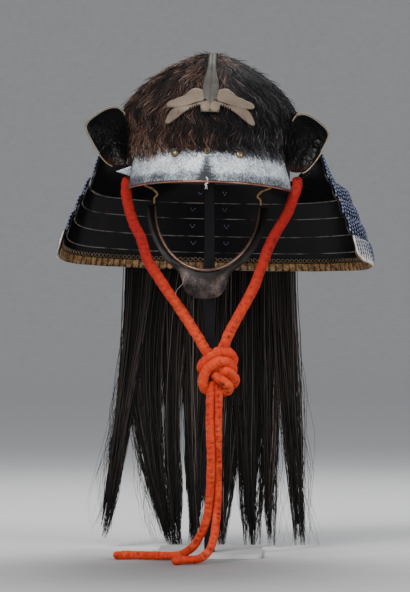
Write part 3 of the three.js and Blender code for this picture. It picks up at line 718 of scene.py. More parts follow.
@dataclass(frozen=True)
class Hide(Finish):
    """Black lacquered leather, crackled and glossy, with a reddish lower part."""

    def paint(self, nodes: Nodes) -> bpy.types.Material:
        """Wrinkles from warped cells; the tone brings up the red-brown ground.

        Args:
            nodes: The material's nodes.

        Returns:
            The material.
        """
        place = nodes.place()
        warp = nodes.noise(place, 60.0, 3.0, 0.6)
        cells = nodes.cells(nodes.stretched(place, (1.0, 1.0, 0.55)), 170.0, "DISTANCE_TO_EDGE")
        cracks = cells.stepped(0.0, 0.12)
        red = (nodes.tone() * (0.55 + warp)).stepped(0.4, 1.0)
        return nodes.done(
            Base_Color=nodes.blend(red, self.colour, (0.012, 0.004, 0.0035)),
            Roughness=(0.14 + 0.24 * warp).clamped(),
            Specular_IOR_Level=0.07,
            Normal=nodes.bump(cracks * 0.35 + warp * 1.3, 0.5, 0.0014),
        )


@dataclass(frozen=True)
class Silk(Finish):
    """Flat silk braid: slanting strands of two colours that meet in chevrons down its middle."""

    second: Colour = (0.34, 0.38, 0.5)
    pitch: float = 0.0052

    def paint(self, nodes: Nodes) -> bpy.types.Material:
        """Stripe = fraction of (run / pitch + distance from the middle), cut into two colours.

        Args:
            nodes: The material's nodes.

        Returns:
            The material.
        """
        place = nodes.place()
        u, v, _ = nodes.parts(nodes.flow())
        slant = abs((u * 4.0).sine() * 0.6)
        stripe = (v * (1 / self.pitch) + slant + nodes.tone()).fraction()
        pale = stripe.stepped(0.4, 0.54) - stripe.stepped(0.78, 0.92)
        worn = nodes.noise(place, 160.0, 3.0)
        ribs = (v * (2 * math.pi * 3 / self.pitch) + slant * 6.0).sine()
        colour = nodes.blend((pale * (1.5 * worn)).clamped(), self.colour, self.second)
        return nodes.done(
            Base_Color=colour,
            Roughness=0.78,
            Specular_IOR_Level=0.2,
            Normal=nodes.bump(ribs, 0.4, 0.0003),
        )


@dataclass(frozen=True)
class PaddedCloth(Finish):
    """Thin cloth sewn round a filling: weave, folds, painted shade in the dimples and fold valleys, and
    painted shade of deeper red higher up.
    """

    # dark is painted shade for the dimples and fold valleys; the last colour here is painted shade for the
    # cords higher up.
    dark: Colour = (0.15, 0.007, 0.007)
    pale: Colour = (0.85, 0.16, 0.05)
    painted_shade_red: Colour = (0.3, 0.008, 0.009)

    def paint(self, nodes: Nodes) -> bpy.types.Material:
        """The tone is painted shade, 1 at the bottom of the dimples and higher where the tube folds in; slow
        noise fades the cloth and threads cross it.

        Args:
            nodes: The material's nodes.

        Returns:
            The material.
        """
        place = nodes.place()
        _, _, z = nodes.parts(place)
        u, v, _ = nodes.parts(nodes.flow())
        fade = nodes.noise(place, 55.0, 4.0, 0.6)
        folds = nodes.noise(nodes.stretched(nodes.flow(), (3.0, 260.0, 1.0)), 1.0, 4.0, 0.6)
        threads = (u * (2 * math.pi * 36)).sine() * (v * (2 * math.pi / 0.0011)).sine()
        lit = nodes.blend(fade.stepped(0.4, 0.75) * 0.5, self.colour, self.pale)
        # Painted shade: deeper red on the cords higher up.
        lit = nodes.blend(z.stepped(0.27, 0.43) * 0.9, lit, self.painted_shade_red)
        # Painted shade from the tone and from the valleys of the folds.
        painted_shade = (nodes.tone() * (0.4 + 0.8 * fade) + (1.0 - folds).stepped(0.5, 0.7) * 0.5).clamped()
        return nodes.done(
            Base_Color=nodes.blend(painted_shade, lit, self.dark),
            Roughness=(0.75 + 0.2 * fade).clamped(),
            Specular_IOR_Level=0.2,
            Normal=nodes.bump(folds * 1.8 + threads * 0.08, 0.8, 0.0014),
        )


@dataclass(frozen=True)
class Hair(Finish):
    """Strands, coloured by the tone that they carry, and greyer towards the helmet's right, where slate
    paints a grey-blue sheen.
    """

    stops: tuple[tuple[float, Colour], ...] = ()
    roughness: float = 0.5
    slate: Colour = (0.2, 0.205, 0.23)
    painted_sheen_share: float = 0.0

    def paint(self, nodes: Nodes) -> bpy.types.Material:
        """Reads the tone through a ramp, and blends in slate, a painted sheen, by the place across.

        Args:
            nodes: The material's nodes.

        Returns:
            The material.
        """
        across, _, _ = nodes.parts(nodes.place())
        tone = nodes.tone()
        grey = nodes.ramp(tone, (0.25, (0.003, 0.003, 0.004)), (1.0, self.slate))
        # Painted sheen: paler strands turn slate grey-blue towards the right.
        share = across.stepped(0.015, 0.06) * self.painted_sheen_share
        return nodes.done(
            Base_Color=nodes.blend(share, nodes.ramp(tone, *self.stops), grey),
            Roughness=self.roughness,
            Specular_IOR_Level=0.22,
        )


@dataclass(frozen=True)
class Pelt(Finish):
    """The mass of hair under the loose strands: streaks that follow the flow map."""

    second: Colour = (0.1, 0.05, 0.03)
    streak: tuple[float, float] = (900.0, 40.0)

    def paint(self, nodes: Nodes) -> bpy.types.Material:
        """Noise drawn out along the flow gives both the streaks and their relief.

        Args:
            nodes: The material's nodes.

        Returns:
            The material.
        """
        flow = nodes.flow()
        hairs = nodes.noise(nodes.stretched(flow, (*self.streak, 1.0)), 1.0, 4.0, 0.65)
        broad = (self.streak[0] / 9, self.streak[1] / 2, 1.0)
        locks = nodes.noise(nodes.stretched(flow, broad), 1.0, 3.0, 0.6)
        return nodes.done(
            Base_Color=nodes.blend((hairs * 0.5 + locks * 0.6).stepped(0.45, 0.75), self.colour, self.second),
            Roughness=0.7,
            Specular_IOR_Level=0.15,
            Normal=nodes.bump(hairs + locks * 2.0, 0.8, 0.0015),
        )


@dataclass(frozen=True)
class Aged(Finish):
    """Worn brown lacquer or gilding: pale worn areas over a dark or red ground."""

    ground: Colour = (0.05, 0.02, 0.015)
    scale: float = 60.0
    metallic: float = 0.2
    roughness: float = 0.38
    bump: float = 0.4

    def paint(self, nodes: Nodes) -> bpy.types.Material:
        """Worn areas by noise, darker where the tone is high.

        Args:
            nodes: The material's nodes.

        Returns:
            The material.
        """
        place = nodes.place()
        wear = nodes.noise(place, self.scale, 5.0, 0.65)
        fine = nodes.noise(place, self.scale * 12, 3.0, 0.6)
        share = (wear * 0.8 + fine * 0.3 - nodes.tone()).stepped(0.38, 0.72)
        return nodes.done(
            Base_Color=nodes.blend(share, self.ground, self.colour),
            Roughness=(self.roughness + 0.25 * fine).clamped(),
            Metallic=(share * self.metallic).clamped(),
            Specular_IOR_Level=0.25,
            Normal=nodes.bump(wear + fine * 0.3, self.bump, 0.001),
        )


@dataclass(frozen=True)
class Twist(Finish):
    """Twisted or stitched thread: plies slant round it."""

    dark: Colour = (0.1, 0.06, 0.03)
    pitch: float = 0.003
    roughness: float = 0.8

    def paint(self, nodes: Nodes) -> bpy.types.Material:
        """Plies = sine of (run / pitch + turn round the thread).

        Args:
            nodes: The material's nodes.

        Returns:
            The material.
        """
        u, v, _ = nodes.parts(nodes.flow())
        plies = ((v * (1 / self.pitch) + u * 2.0) * (2 * math.pi)).sine() * 0.5 + 0.5
        dust = nodes.noise(nodes.place(), 300.0, 3.0)
        return nodes.done(
            Base_Color=nodes.blend((plies * 0.6 + dust * 0.5).clamped(), self.dark, self.colour),
            Roughness=self.roughness,
            Normal=nodes.bump(plies, 0.5, 0.0005),
        )


@dataclass(frozen=True)
class Paint(Finish):
    """Plain paint with a little unevenness."""

    roughness: float = 0.5
    bump: float = 0.05
    gloss: float = 0.4

    def paint(self, nodes: Nodes) -> bpy.types.Material:
        """Varies the colour and gloss a little by noise.

        Args:
            nodes: The material's nodes.

        Returns:
            The material.
        """
        cloud = nodes.noise(nodes.place(), 30.0, 4.0)
        fine = nodes.noise(nodes.place(), 500.0, 2.0)
        darker = tuple(part * 0.82 for part in self.colour)
        return nodes.done(
            Base_Color=nodes.blend(cloud, darker, self.colour),
            Roughness=(self.roughness + 0.2 * (cloud - 0.5)).clamped(),
            Specular_IOR_Level=self.gloss,
            Normal=nodes.bump(fine, self.bump, 0.0005),
        )


IRON = Metal("old_iron", (0.05, 0.042, 0.038), stain=(0.09, 0.04, 0.02), roughness=0.5, metallic=0.6)
SILVER = Speckled("speckled_silver", (0.8, 0.82, 0.84))
COPPER = Metal(
    "worn_copper", (0.42, 0.2, 0.14), stain=(0.1, 0.03, 0.022), roughness=0.35, stained=0.8, speckle=500.0
)
BRASS = Metal("dull_brass", (0.26, 0.2, 0.12), stain=(0.06, 0.045, 0.025), roughness=0.32, stained=0.7)
PALE_BRASS = Metal(
    "tarnished_pale_brass", (0.2, 0.15, 0.108), stain=(0.115, 0.085, 0.062), roughness=0.6, metallic=0.2,
    stained=0.8,
)
GREY_BRASS = Metal(
    "tarnished_grey_brass", (0.095, 0.085, 0.07), stain=(0.045, 0.04, 0.034), roughness=0.6, metallic=0.2,
    stained=0.9,
)
BLACK_LACQUER = Lacquer("black_lacquer", (0.0022, 0.0022, 0.0036))
EAR_HIDE = Hide("black_hide", (0.002, 0.0018, 0.002))
GILT = Metal(
    "worn_gilt", (0.3, 0.22, 0.13), stain=(0.09, 0.055, 0.03), roughness=0.4, metallic=0.6, stained=0.8
)
GILT_LEATHER = Aged("gilt_leather", (0.5, 0.3, 0.13), ground=(0.07, 0.028, 0.012), scale=140.0, metallic=0.3)
WHITE_HIDE = Aged(
    "white_hide", (0.86, 0.83, 0.74), ground=(0.4, 0.36, 0.3), scale=120.0, metallic=0.0, roughness=0.7,
    bump=0.3,
)
RUSSET = Aged("russet_lacquer", (0.14, 0.1, 0.086), ground=(0.007, 0.004, 0.004), scale=48.0, metallic=0.1)
RUSSET_RIM = Metal(
    "russet_rim", (0.2, 0.125, 0.09), stain=(0.04, 0.016, 0.012), roughness=0.28, metallic=0.6, stained=0.9
)
RED_CLOTH = PaddedCloth("red_cloth", (0.68, 0.05, 0.014))
OCHRE = Twist("ochre_cord", (0.5, 0.31, 0.12), dark=(0.16, 0.08, 0.03), pitch=0.004)
WHITE_THREAD = Twist("white_thread", (0.85, 0.83, 0.8), dark=(0.4, 0.38, 0.36), pitch=0.0015)
PALE_THREAD = Twist("dusty_thread", (0.35, 0.33, 0.31), dark=(0.15, 0.14, 0.13), pitch=0.0015)
BLUE_SILK = Silk("blue_silk", (0.014, 0.019, 0.062))
PLUME_HAIR = Hair(
    "plume_hair",
    (0.02, 0.015, 0.012),
    stops=((0.0, (0.002, 0.002, 0.002)), (0.35, (0.008, 0.007, 0.0065)), (0.6, (0.05, 0.038, 0.032)),
           (1.0, (0.24, 0.19, 0.165))),
    roughness=0.55,
)
FUR_HAIR = Hair(
    "fur_hair",
    (0.05, 0.03, 0.02),
    stops=((0.0, (0.003, 0.003, 0.004)), (0.3, (0.012, 0.011, 0.014)), (0.5, (0.06, 0.03, 0.021)),
           (0.72, (0.2, 0.095, 0.06)), (1.0, (0.52, 0.4, 0.34))),
    roughness=0.6,
    painted_sheen_share=0.75,
)
FUR_PELT = Pelt("fur_pelt", (0.004, 0.0035, 0.004), second=(0.03, 0.018, 0.014), streak=(700.0, 45.0))
PLUME_PELT = Pelt("plume_pelt", (0.002, 0.002, 0.002), second=(0.012, 0.009, 0.008), streak=(700.0, 14.0))
BLACK_PAINT = Paint("black_paint", (0.003, 0.003, 0.0055), roughness=0.45, gloss=0.15)
GREY_PAINT = Paint("grey_paint", (0.62, 0.62, 0.61), roughness=0.6)
FLOOR_PAINT = Paint("pale_floor", (0.78, 0.78, 0.78), roughness=0.9, bump=0.0)


def settle(piece: bpy.types.Object, finish: Finish, slot: str, *stands_for: str) -> bpy.types.Object:
    """Dresses a piece, hangs it on the body and reports it.

    Args:
        piece: The finished object.
        finish: What it is made of.
        slot: Not used.
        stands_for: The CAD nodes that it replaces.

    Returns:
        The piece.
    """
    piece.data.materials.clear()
    piece.data.materials.append(finish.material())
    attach(piece, BODY)
    if stands_for:
        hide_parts(*stands_for)
    LOG.info("%s: %s, %d faces", piece.name, finish.name, len(piece.data.polygons))
    return piece


# ---- how the helmet sits


LEAN = math.radians(1.3)
LEAN_Z = 0.556


def leaned(points: Array) -> Array:
    """Leans points with the helmet, which sits a little askew, about a line along Y.

    Args:
        points: Points of the upright helmet.

    Returns:
        Points of the leaned one.
    """
    x, z = points[..., 0], points[..., 2] - LEAN_Z
    right = x * math.cos(LEAN) + z * math.sin(LEAN)
    up = z * math.cos(LEAN) - x * math.sin(LEAN) + LEAN_Z
    return np.stack([right, points[..., 1], up], -1)


SWING = math.radians(-8)
SWING_SHIFT = 0.0055
AXIS_Y = 0.010


def swung(points: Array) -> Array:
    """Shifts points with the neck guard, swings them about the bowl's axis, then leans them.

    Args:
        points: Points of the straight guard.

    Returns:
        Points where the guard hangs.
    """
    x, y = points[..., 0] + SWING_SHIFT, points[..., 1] - AXIS_Y
    right = x * math.cos(SWING) - y * math.sin(SWING)
    back = x * math.sin(SWING) + y * math.cos(SWING) + AXIS_Y
    return leaned(np.stack([right, back, points[..., 2]], -1))


@dataclass(frozen=True)
class Dome:
    """The bowl's form, which the fur, crest, band and visor follow."""

    half_width: float = 0.111
    half_length: float = 0.126
    centre_y: float = AXIS_Y
    rim_z: float = 0.535
    shoulder_z: float = 0.585
    crown_rise: float = 0.080
    rim_tuck: float = 0.975
    shoulder: float = 0.3

    def plan(self, angle: Numbers, offset: Numbers, spread: Numbers, z: Numbers) -> Array:
        """A point at a height on the spread and offset ellipse; the angle runs from the front.

        Args:
            angle: From the front, in radians.
            offset: Distance outside the bowl.
            spread: Share of the bowl's full width.
            z: Height.

        Returns:
            Points.
        """
        x = (self.half_width + offset) * spread * np.sin(angle)
        y = self.centre_y - (self.half_length + offset) * spread * np.cos(angle)
        return np.stack(np.broadcast_arrays(x, y, z), -1)

    def point(self, angle: Numbers, along: Array, offset: Numbers, rim_z: float) -> Array:
        """A point of the dome.

        Up to the shoulder the wall leans out by a quarter sine; above it spread and height are the
        cosine and sine of a quarter turn, each to the power 4/3.

        Args:
            angle: From the front, positive towards +X, in radians.
            along: 0 at the rim, the shoulder's share at the shoulder, 1 at the crown.
            offset: Distance outside the bowl.
            rim_z: Height of the rim.

        Returns:
            Points.
        """
        share = along / self.shoulder
        tuck = self.rim_tuck + (1 - self.rim_tuck) * np.sin(np.clip(share, -1, 1) * np.pi / 2)
        turn = np.clip((along - self.shoulder) / (1 - self.shoulder), 0, 1) * np.pi / 2
        low = along <= self.shoulder
        spread = np.where(low, tuck, np.cos(turn).clip(0) ** (4 / 3))
        rise = (self.crown_rise + offset) * np.sin(turn) ** (4 / 3)
        z = np.where(low, rim_z + (self.shoulder_z - rim_z) * share, self.shoulder_z + rise)
        return self.plan(angle, offset, spread, z)

    def front_y(self, x: Array, z: Array, offset: Numbers) -> Array:
        """Depth of the dome's front behind a point of the front view.

        Args:
            x: Across.
            z: Height.
            offset: Distance outside the bowl.

        Returns:
            Depths.
        """
        rise = ((z - self.shoulder_z) / (self.crown_rise + offset)).clip(0)
        spread = (1 - rise**1.5).clip(0) ** (2 / 3)
        sine = (np.abs(x) / ((self.half_width + offset) * spread).clip(1e-6)).clip(0, 1)
        return self.centre_y - (self.half_length + offset) * spread * np.sqrt(1 - sine**2)


DOME = Dome()


@dataclass(frozen=True)
class VisorForm:
    """The visor's surface, for the plate and for what lies on it."""

    # For the left and right end: angle from the front, and how far the lower edge stands off the bowl.
    ends: Table = ((math.radians(58), 7 * MM), (math.radians(60), 14 * MM))
    top_z: float = 0.5365
    front_z: float = 0.495
    end_drop: float = 0.0074
    top_offset: float = 0.0026
    front_reach: float = 0.024

    def end_angle(self, sign: Array) -> Array:
        """Angle of the end on that side."""
        return np.where(np.asarray(sign) < 0, self.ends[0][0], self.ends[1][0])

    def stand_off(self, angle: Array, along: Numbers) -> Array:
        """How far the visor stands outside the bowl: most at the front, and towards its lower edge.

        Args:
            angle: From the front, in radians.
            along: 0 at the top edge, 1 at the lower.

        Returns:
            Distances outside the bowl.
        """
        end_reach = np.where(np.asarray(angle) < 0, self.ends[0][1], self.ends[1][1])
        reach = end_reach + (self.front_reach - end_reach) * np.cos(1.2 * angle) ** 2
        return self.top_offset + reach * np.clip(along, 0, 2) ** 1.15

    def lower_z(self, across: Array) -> Array:
        """Height of the lower edge."""
        return self.front_z - self.end_drop * np.asarray(across) ** 2

    def point(self, across: Array, along: Numbers, inset: Numbers) -> Array:
        """A point at -1 to 1 across and 0 to 1 down the visor, set in from its outer skin.

        Args:
            across: -1 to 1 from end to end.
            along: 0 at the top edge, 1 at the lower.
            inset: Distance inside the outer skin.

        Returns:
            Points, not leaned.
        """
        angle = self.end_angle(across) * across
        z = self.top_z + (self.lower_z(across) - self.top_z) * along
        return DOME.plan(angle, self.stand_off(angle, along) - inset, 1.0, z)

    def normal(self, across: float, along: float) -> Array:
        """The outward direction at a point.

        Args:
            across: -1 to 1 from end to end.
            along: 0 at the top edge, 1 at the lower.

        Returns:
            A unit direction.
        """
        base = self.point(np.array(across), np.array(along), 0.0)
        sideways = self.point(np.array(across + 0.02), np.array(along), 0.0) - base
        down = self.point(np.array(across), np.array(along + 0.02), 0.0) - base
        out = unit(np.cross(sideways, down))
        return -out if out[1] > 0 else out


VISOR = VisorForm()


# ---- camera, light and floor


@dataclass
class Studio:
    """A long lens at the height of the cord's knot, soft panels of light and a seamless pale floor."""

    distance: float = 4.5
    azimuth: float = 1.2
    height: float = 0.300
    aim: Spot = (-0.0058, 0.0, 0.3471)
    lens: float = 205.7
    floor_radius: float = 11.0
    cove_radius: float = 4.0
    sunk: float = 0.2 * MM
    thick: float = 20 * MM

    def camera(self) -> None:
        """Places the camera and makes it the scene's own."""
        lens = bpy.data.cameras.new("camera")
        lens.lens, lens.sensor_width, lens.clip_end = self.lens, 36.0, 60.0
        camera = bpy.data.objects.new("camera", lens)
        bpy.context.scene.collection.objects.link(camera)
        turn = math.radians(self.azimuth)
        target = Vector(self.aim)
        across, back = self.distance * math.sin(turn), self.distance * math.cos(turn)
        place = Vector((target.x + across, -back, self.height))
        camera.location = place
        camera.rotation_mode = "QUATERNION"
        camera.rotation_quaternion = (target - place).to_track_quat("-Z", "Y")
        bpy.context.scene.camera = camera

    def floor(self) -> None:
        """Turns a profile, flat and then a quarter circle up to a wall, about the upright axis."""
        arc = np.linspace(0, np.pi / 2, 14)
        radius = np.concatenate([[0.001, 3.0, 8.0], self.floor_radius + self.cove_radius * np.sin(arc)])
        height = np.concatenate([[0, 0, 0], self.cove_radius * (1 - np.cos(arc))])
        angle = np.linspace(0, 2 * np.pi, 97)[:-1, None]
        top = np.stack(
            np.broadcast_arrays(radius * np.cos(angle), radius * np.sin(angle), height - self.sunk), -1
        )
        parts = MeshParts()
        below = top - np.array([0, 0, self.thick])
        parts.shell(top, below, (1, 1), around=True)
        piece = parts.build("floor")
        piece.data.materials.append(FLOOR_PAINT.material())

    def panel(self, name: str, place: Spot, target: Spot, size: float, power: float, warmth: Colour) -> None:
        """Adds one square panel of light, aimed at a point.

        Args:
            name: The lamp's name.
            place: Where it stands.
            target: What it is aimed at.
            size: Its side.
            power: In watts.
            warmth: Its colour.
        """
        light = bpy.data.lights.new(name, "AREA")
        light.size, light.energy, light.color = size, power, warmth
        lamp = bpy.data.objects.new(name, light)
        lamp.location = place
        lamp.rotation_mode = "QUATERNION"
        lamp.rotation_quaternion = (Vector(target) - Vector(place)).to_track_quat("-Z", "Y")
        bpy.context.scene.collection.objects.link(lamp)

    def lights(self) -> None:
        """A key from the front above, a fill, a top light behind and an even world."""
        self.panel("key", (-1.3, -2.4, 2.6), (0, 0, 0.45), 1.3, 95, (1.0, 0.985, 0.96))
        self.panel("fill", (2.2, -2.0, 1.4), (0, 0, 0.4), 1.6, 38, (0.96, 0.98, 1.0))
        self.panel("top", (0.2, 1.6, 2.4), (0, 0, 0.5), 1.5, 40, (1.0, 1.0, 1.0))
        self.panel("low", (0.0, -2.6, 0.35), (0, 0, 0.4), 1.2, 12, (1.0, 1.0, 1.0))
        world = bpy.data.worlds.new("studio")
        world.use_nodes = True
        background = world.node_tree.nodes["Background"]
        background.inputs[0].default_value = (0.92, 0.95, 1.0, 1.0)
        background.inputs[1].default_value = 0.38
        bpy.context.scene.world = world


# ---- chin cord


@dataclass
class ChinCord:
    """The padded red cord: two sides that hang from the brow, a knot, and two tails to the floor."""

    radius: float = 6.9 * MM
    tail_radius: float = 5.4 * MM
    hidden_radius: float = 5.5 * MM
    hidden_inset: float = 9.7 * MM
    hidden_z: float = 0.518
    hidden_span: tuple[float, float] = (62, 298)
    pitch: float = 1.2 * MM
    dimple_pitch: float = 9.5 * MM
    dimple_depth: float = 0.14
    fold_depth: float = 0.06
    swell_depth: float = 0.07
    sides: dict[Side, list[Spot]] = field(
        default_factory=lambda: {
            Side.LEFT: [
                (-107, -47, 503), (-108.6, -52, 492), (-107.7, -56, 477.5), (-103.6, -62, 459),
                (-98.2, -68, 442), (-87.6, -74, 420.5), (-79, -80, 393), (-62.6, -84, 367), (-42.5, -86, 338),
                (-24, -89, 310.5), (-12, -91.5, 291.5), (-1, -92, 272), (7, -90, 262),
            ],
            Side.RIGHT: [
                (115.5, -42, 503), (116.8, -48, 492), (113.6, -55, 481.5), (104.9, -62, 457.5),
                (91.7, -68, 434), (79.8, -74, 411.5), (70.5, -80, 386.5), (61, -84, 360.5), (44.5, -87, 329),
                (30.5, -89.5, 303), (26, -90.5, 294), (20.5, -91, 281), (16, -89, 269),
            ],
        }
    )
    tails: dict[Side, list[Spot]] = field(
        default_factory=lambda: {
            Side.LEFT: [
                (7, -95, 236), (4, -98, 224), (3, -99.5, 213), (2.8, -100, 190), (3.2, -101, 160),
                (4, -102, 129), (3, -101.5, 103), (1.5, -100, 77), (-3, -97, 52), (-10, -93.5, 34),
                (-20, -88, 19), (-35, -79, 9), (-53, -68, 5.7), (-74, -57, 5.6), (-95, -50, 5.6),
                (-111, -50, 5.6), (-125, -56, 5.6),
            ],
            Side.RIGHT: [
                (14, -92, 238), (14, -96.5, 224), (14, -97, 213), (13.4, -95.5, 190), (12.8, -93.5, 160),
                (12.6, -92, 129), (12.6, -92, 103), (12, -94, 77), (10.5, -99, 52), (8, -106.5, 34),
                (2.5, -115, 17), (-7, -125, 8), (-20, -136, 5.6), (-34, -148, 5.6), (-44, -158, 5.6),
            ],
        }
    )
    loops: tuple[Table, ...] = (
        ((-3, -86, 246), (-7.8, -94, 254.6), (-1, -101, 264), (8.7, -104.5, 271), (19.2, -103.5, 274.5),
         (28, -99, 272), (32.5, -92, 264.5), (29, -85, 256), (19, -81, 251), (8, -82, 250)),
        ((8, -84, 232), (2, -88, 224.5), (-3.5, -94, 226), (-6, -100, 234), (-5.2, -102.5, 242),
         (0, -105, 251), (9.5, -107.5, 258.5), (19.2, -106.5, 261.5), (27, -101, 258.5), (31.5, -93, 251.5),
         (28, -86, 244), (18, -83, 240)),
        ((9, -95, 252), (17, -102, 249.5), (25, -104, 247.5), (32, -100.5, 242), (34.5, -93.5, 236),
         (30, -86, 230.5), (20, -84, 229)),
        ((7, -97, 244), (12, -103, 240.5), (19, -106, 236), (26, -103, 229.5), (26, -96, 223.5),
         (18, -91, 222), (10, -92, 226)),
    )

    def padded_tube(self, parts: MeshParts, path: Array, radius: float, seed: int, seam: float = 0.0) -> None:
        """Adds one stretch of padded tube.

        The radius swells and pinches by slow waves along the run, folds across it, dips in a row of
        round dimples where the seam is sewn, and stands up as a low ridge beside them. The tone is
        painted shade: 1 at the bottom of a dimple, and higher where folds dip in or the tube pinches.

        Args:
            parts: The mesh to add to.
            path: Its centreline.
            radius: Its mean radius.
            seed: Which wrinkles it has.
            seam: Where round the tube the seam lies, from the front, towards the left.
        """
        sides, steps = 30, len(path)
        run = np.linspace(0, path_length(path), steps)[:, None]
        turn = np.arange(sides)[None] * 2 * np.pi / sides
        draw = np.random.default_rng(seed)
        seam_at = seam + 0.35 * np.sin(run * 24 + draw.uniform(0, 6))
        from_seam = (turn - seam_at + np.pi) % (2 * np.pi) - np.pi
        beat = run / self.dimple_pitch + 0.3 * np.sin(run * 31 + seed) + 0.3 * np.sin(run * 170 + 2 * seed)
        stitch = np.exp(-(((beat % 1.0) - 0.5) ** 2) / 0.1)
        dimple = np.exp(-(from_seam**2) / 0.55) * stitch
        ridge = np.exp(-((np.abs(from_seam) - 1.0) ** 2) / 0.06)
        folds = ripple(run * 560 + turn * 0.7, turn * 1.3, seed, 3) * self.fold_depth
        swell = ripple(run * 150, turn * 0.7, seed + 1, 2) * self.swell_depth
        reach = radius * (1 + folds + swell + 0.03 * ridge - self.dimple_depth * dimple)
        ends = np.minimum(run, run[-1] - run) / (0.8 * radius)
        reach = reach * np.sqrt((1 - (1 - ends.clip(0, 1)) ** 2).clip(0.06))
        # Painted shade: darker in the dimples, in the dips of the folds and where the tube pinches.
        dark = dimple * (0.6 + 0.6 * ripple(run * 90, turn, seed + 2, 2))
        parts.tubes(path, reach[None], sides, tone=(dark - 2.5 * folds - swell).clip(0, 1)[None])

    def line(self, points: list[Spot] | Table) -> Array:
        """A smooth centreline through the points, with a sample about every pitch."""
        rough = np.array(points) * MM
        return smooth_path(rough, max(int(path_length(rough) / self.pitch), 12))

    def build(self) -> None:
        """Makes the knot, then the cords, their tails and the stretch inside the brow band."""
        knot = self.knot()
        for side in Side:
            name = f"chin_cord_{side.label}"
            path = self.line(self.sides[side])
            parts = MeshParts()
            self.padded_tube(parts, path, self.radius, 11 + side.value, -0.5)
            piece = settle(parts.build(f"padded_{name}"), RED_CLOTH, "red_cloth", name)
        for side in Side:
            name = f"chin_cord_tail_{side.label}"
            path = self.line(self.tails[side])
            path[:, 2] = path[:, 2].clip(1.1 * self.tail_radius)
            parts = MeshParts()
            self.padded_tube(parts, path, self.tail_radius, 31 + side.value, -0.3 * side.value)
            piece = settle(parts.build(f"padded_{name}"), RED_CLOTH, "red_cloth", name)
        self.hidden()

    def knot(self) -> bpy.types.Object:
        """Makes the knot from its turns.

        Returns:
            The knot.
        """
        parts = MeshParts()
        for number, loop in enumerate(self.loops):
            self.padded_tube(parts, self.line(loop), self.radius, 51 + number)
        return settle(parts.build("padded_knot"), RED_CLOTH, "red_cloth", "chin_cord_knot")

    def hidden(self) -> None:
        """Makes the stretch that runs round inside the brow band."""
        angle = np.radians(np.linspace(*self.hidden_span, 120))
        path = leaned(DOME.plan(angle, -self.hidden_inset, DOME.rim_tuck, self.hidden_z))
        parts = MeshParts()
        self.padded_tube(parts, path, self.hidden_radius, 71)
        settle(parts.build("padded_cord_inside"), RED_CLOTH, "red_cloth", "chin_cord_hidden")


# ---- bowl, band and fur


@dataclass
class Bowl:
    """The iron bowl under the fur, and the brow band below it."""

    wall: float = 2 * MM
    band_top: float = 0.534
    band_bottom: float = 0.501

    def build(self) -> None:
        """Makes both."""
        angle, along = grid(120, 40, 0, 2 * np.pi, around=True)
        along = along * 0.9995
        parts = MeshParts()
        outer = leaned(DOME.point(angle, along, 0.0, DOME.rim_z))
        inner = leaned(DOME.point(angle, along, -self.wall, DOME.rim_z))
        parts.shell(outer, inner, (0.7, 0.16), around=True)
        settle(parts.build("iron_bowl"), IRON, "iron", "bowl_wall", "bowl_crown", "bowl_cap")
        angle, down = grid(140, 6, 0, 2 * np.pi, around=True)
        z = self.band_top + (self.band_bottom - self.band_top) * down
        parts = MeshParts()
        outer = leaned(DOME.plan(angle, 0.0, DOME.rim_tuck, z))
        inner = leaned(DOME.plan(angle, -self.wall, DOME.rim_tuck, z))
        parts.shell(outer, inner, (0.7, 0.03), around=True)
        settle(parts.build("iron_brow_band"), IRON, "iron", "brow_band")


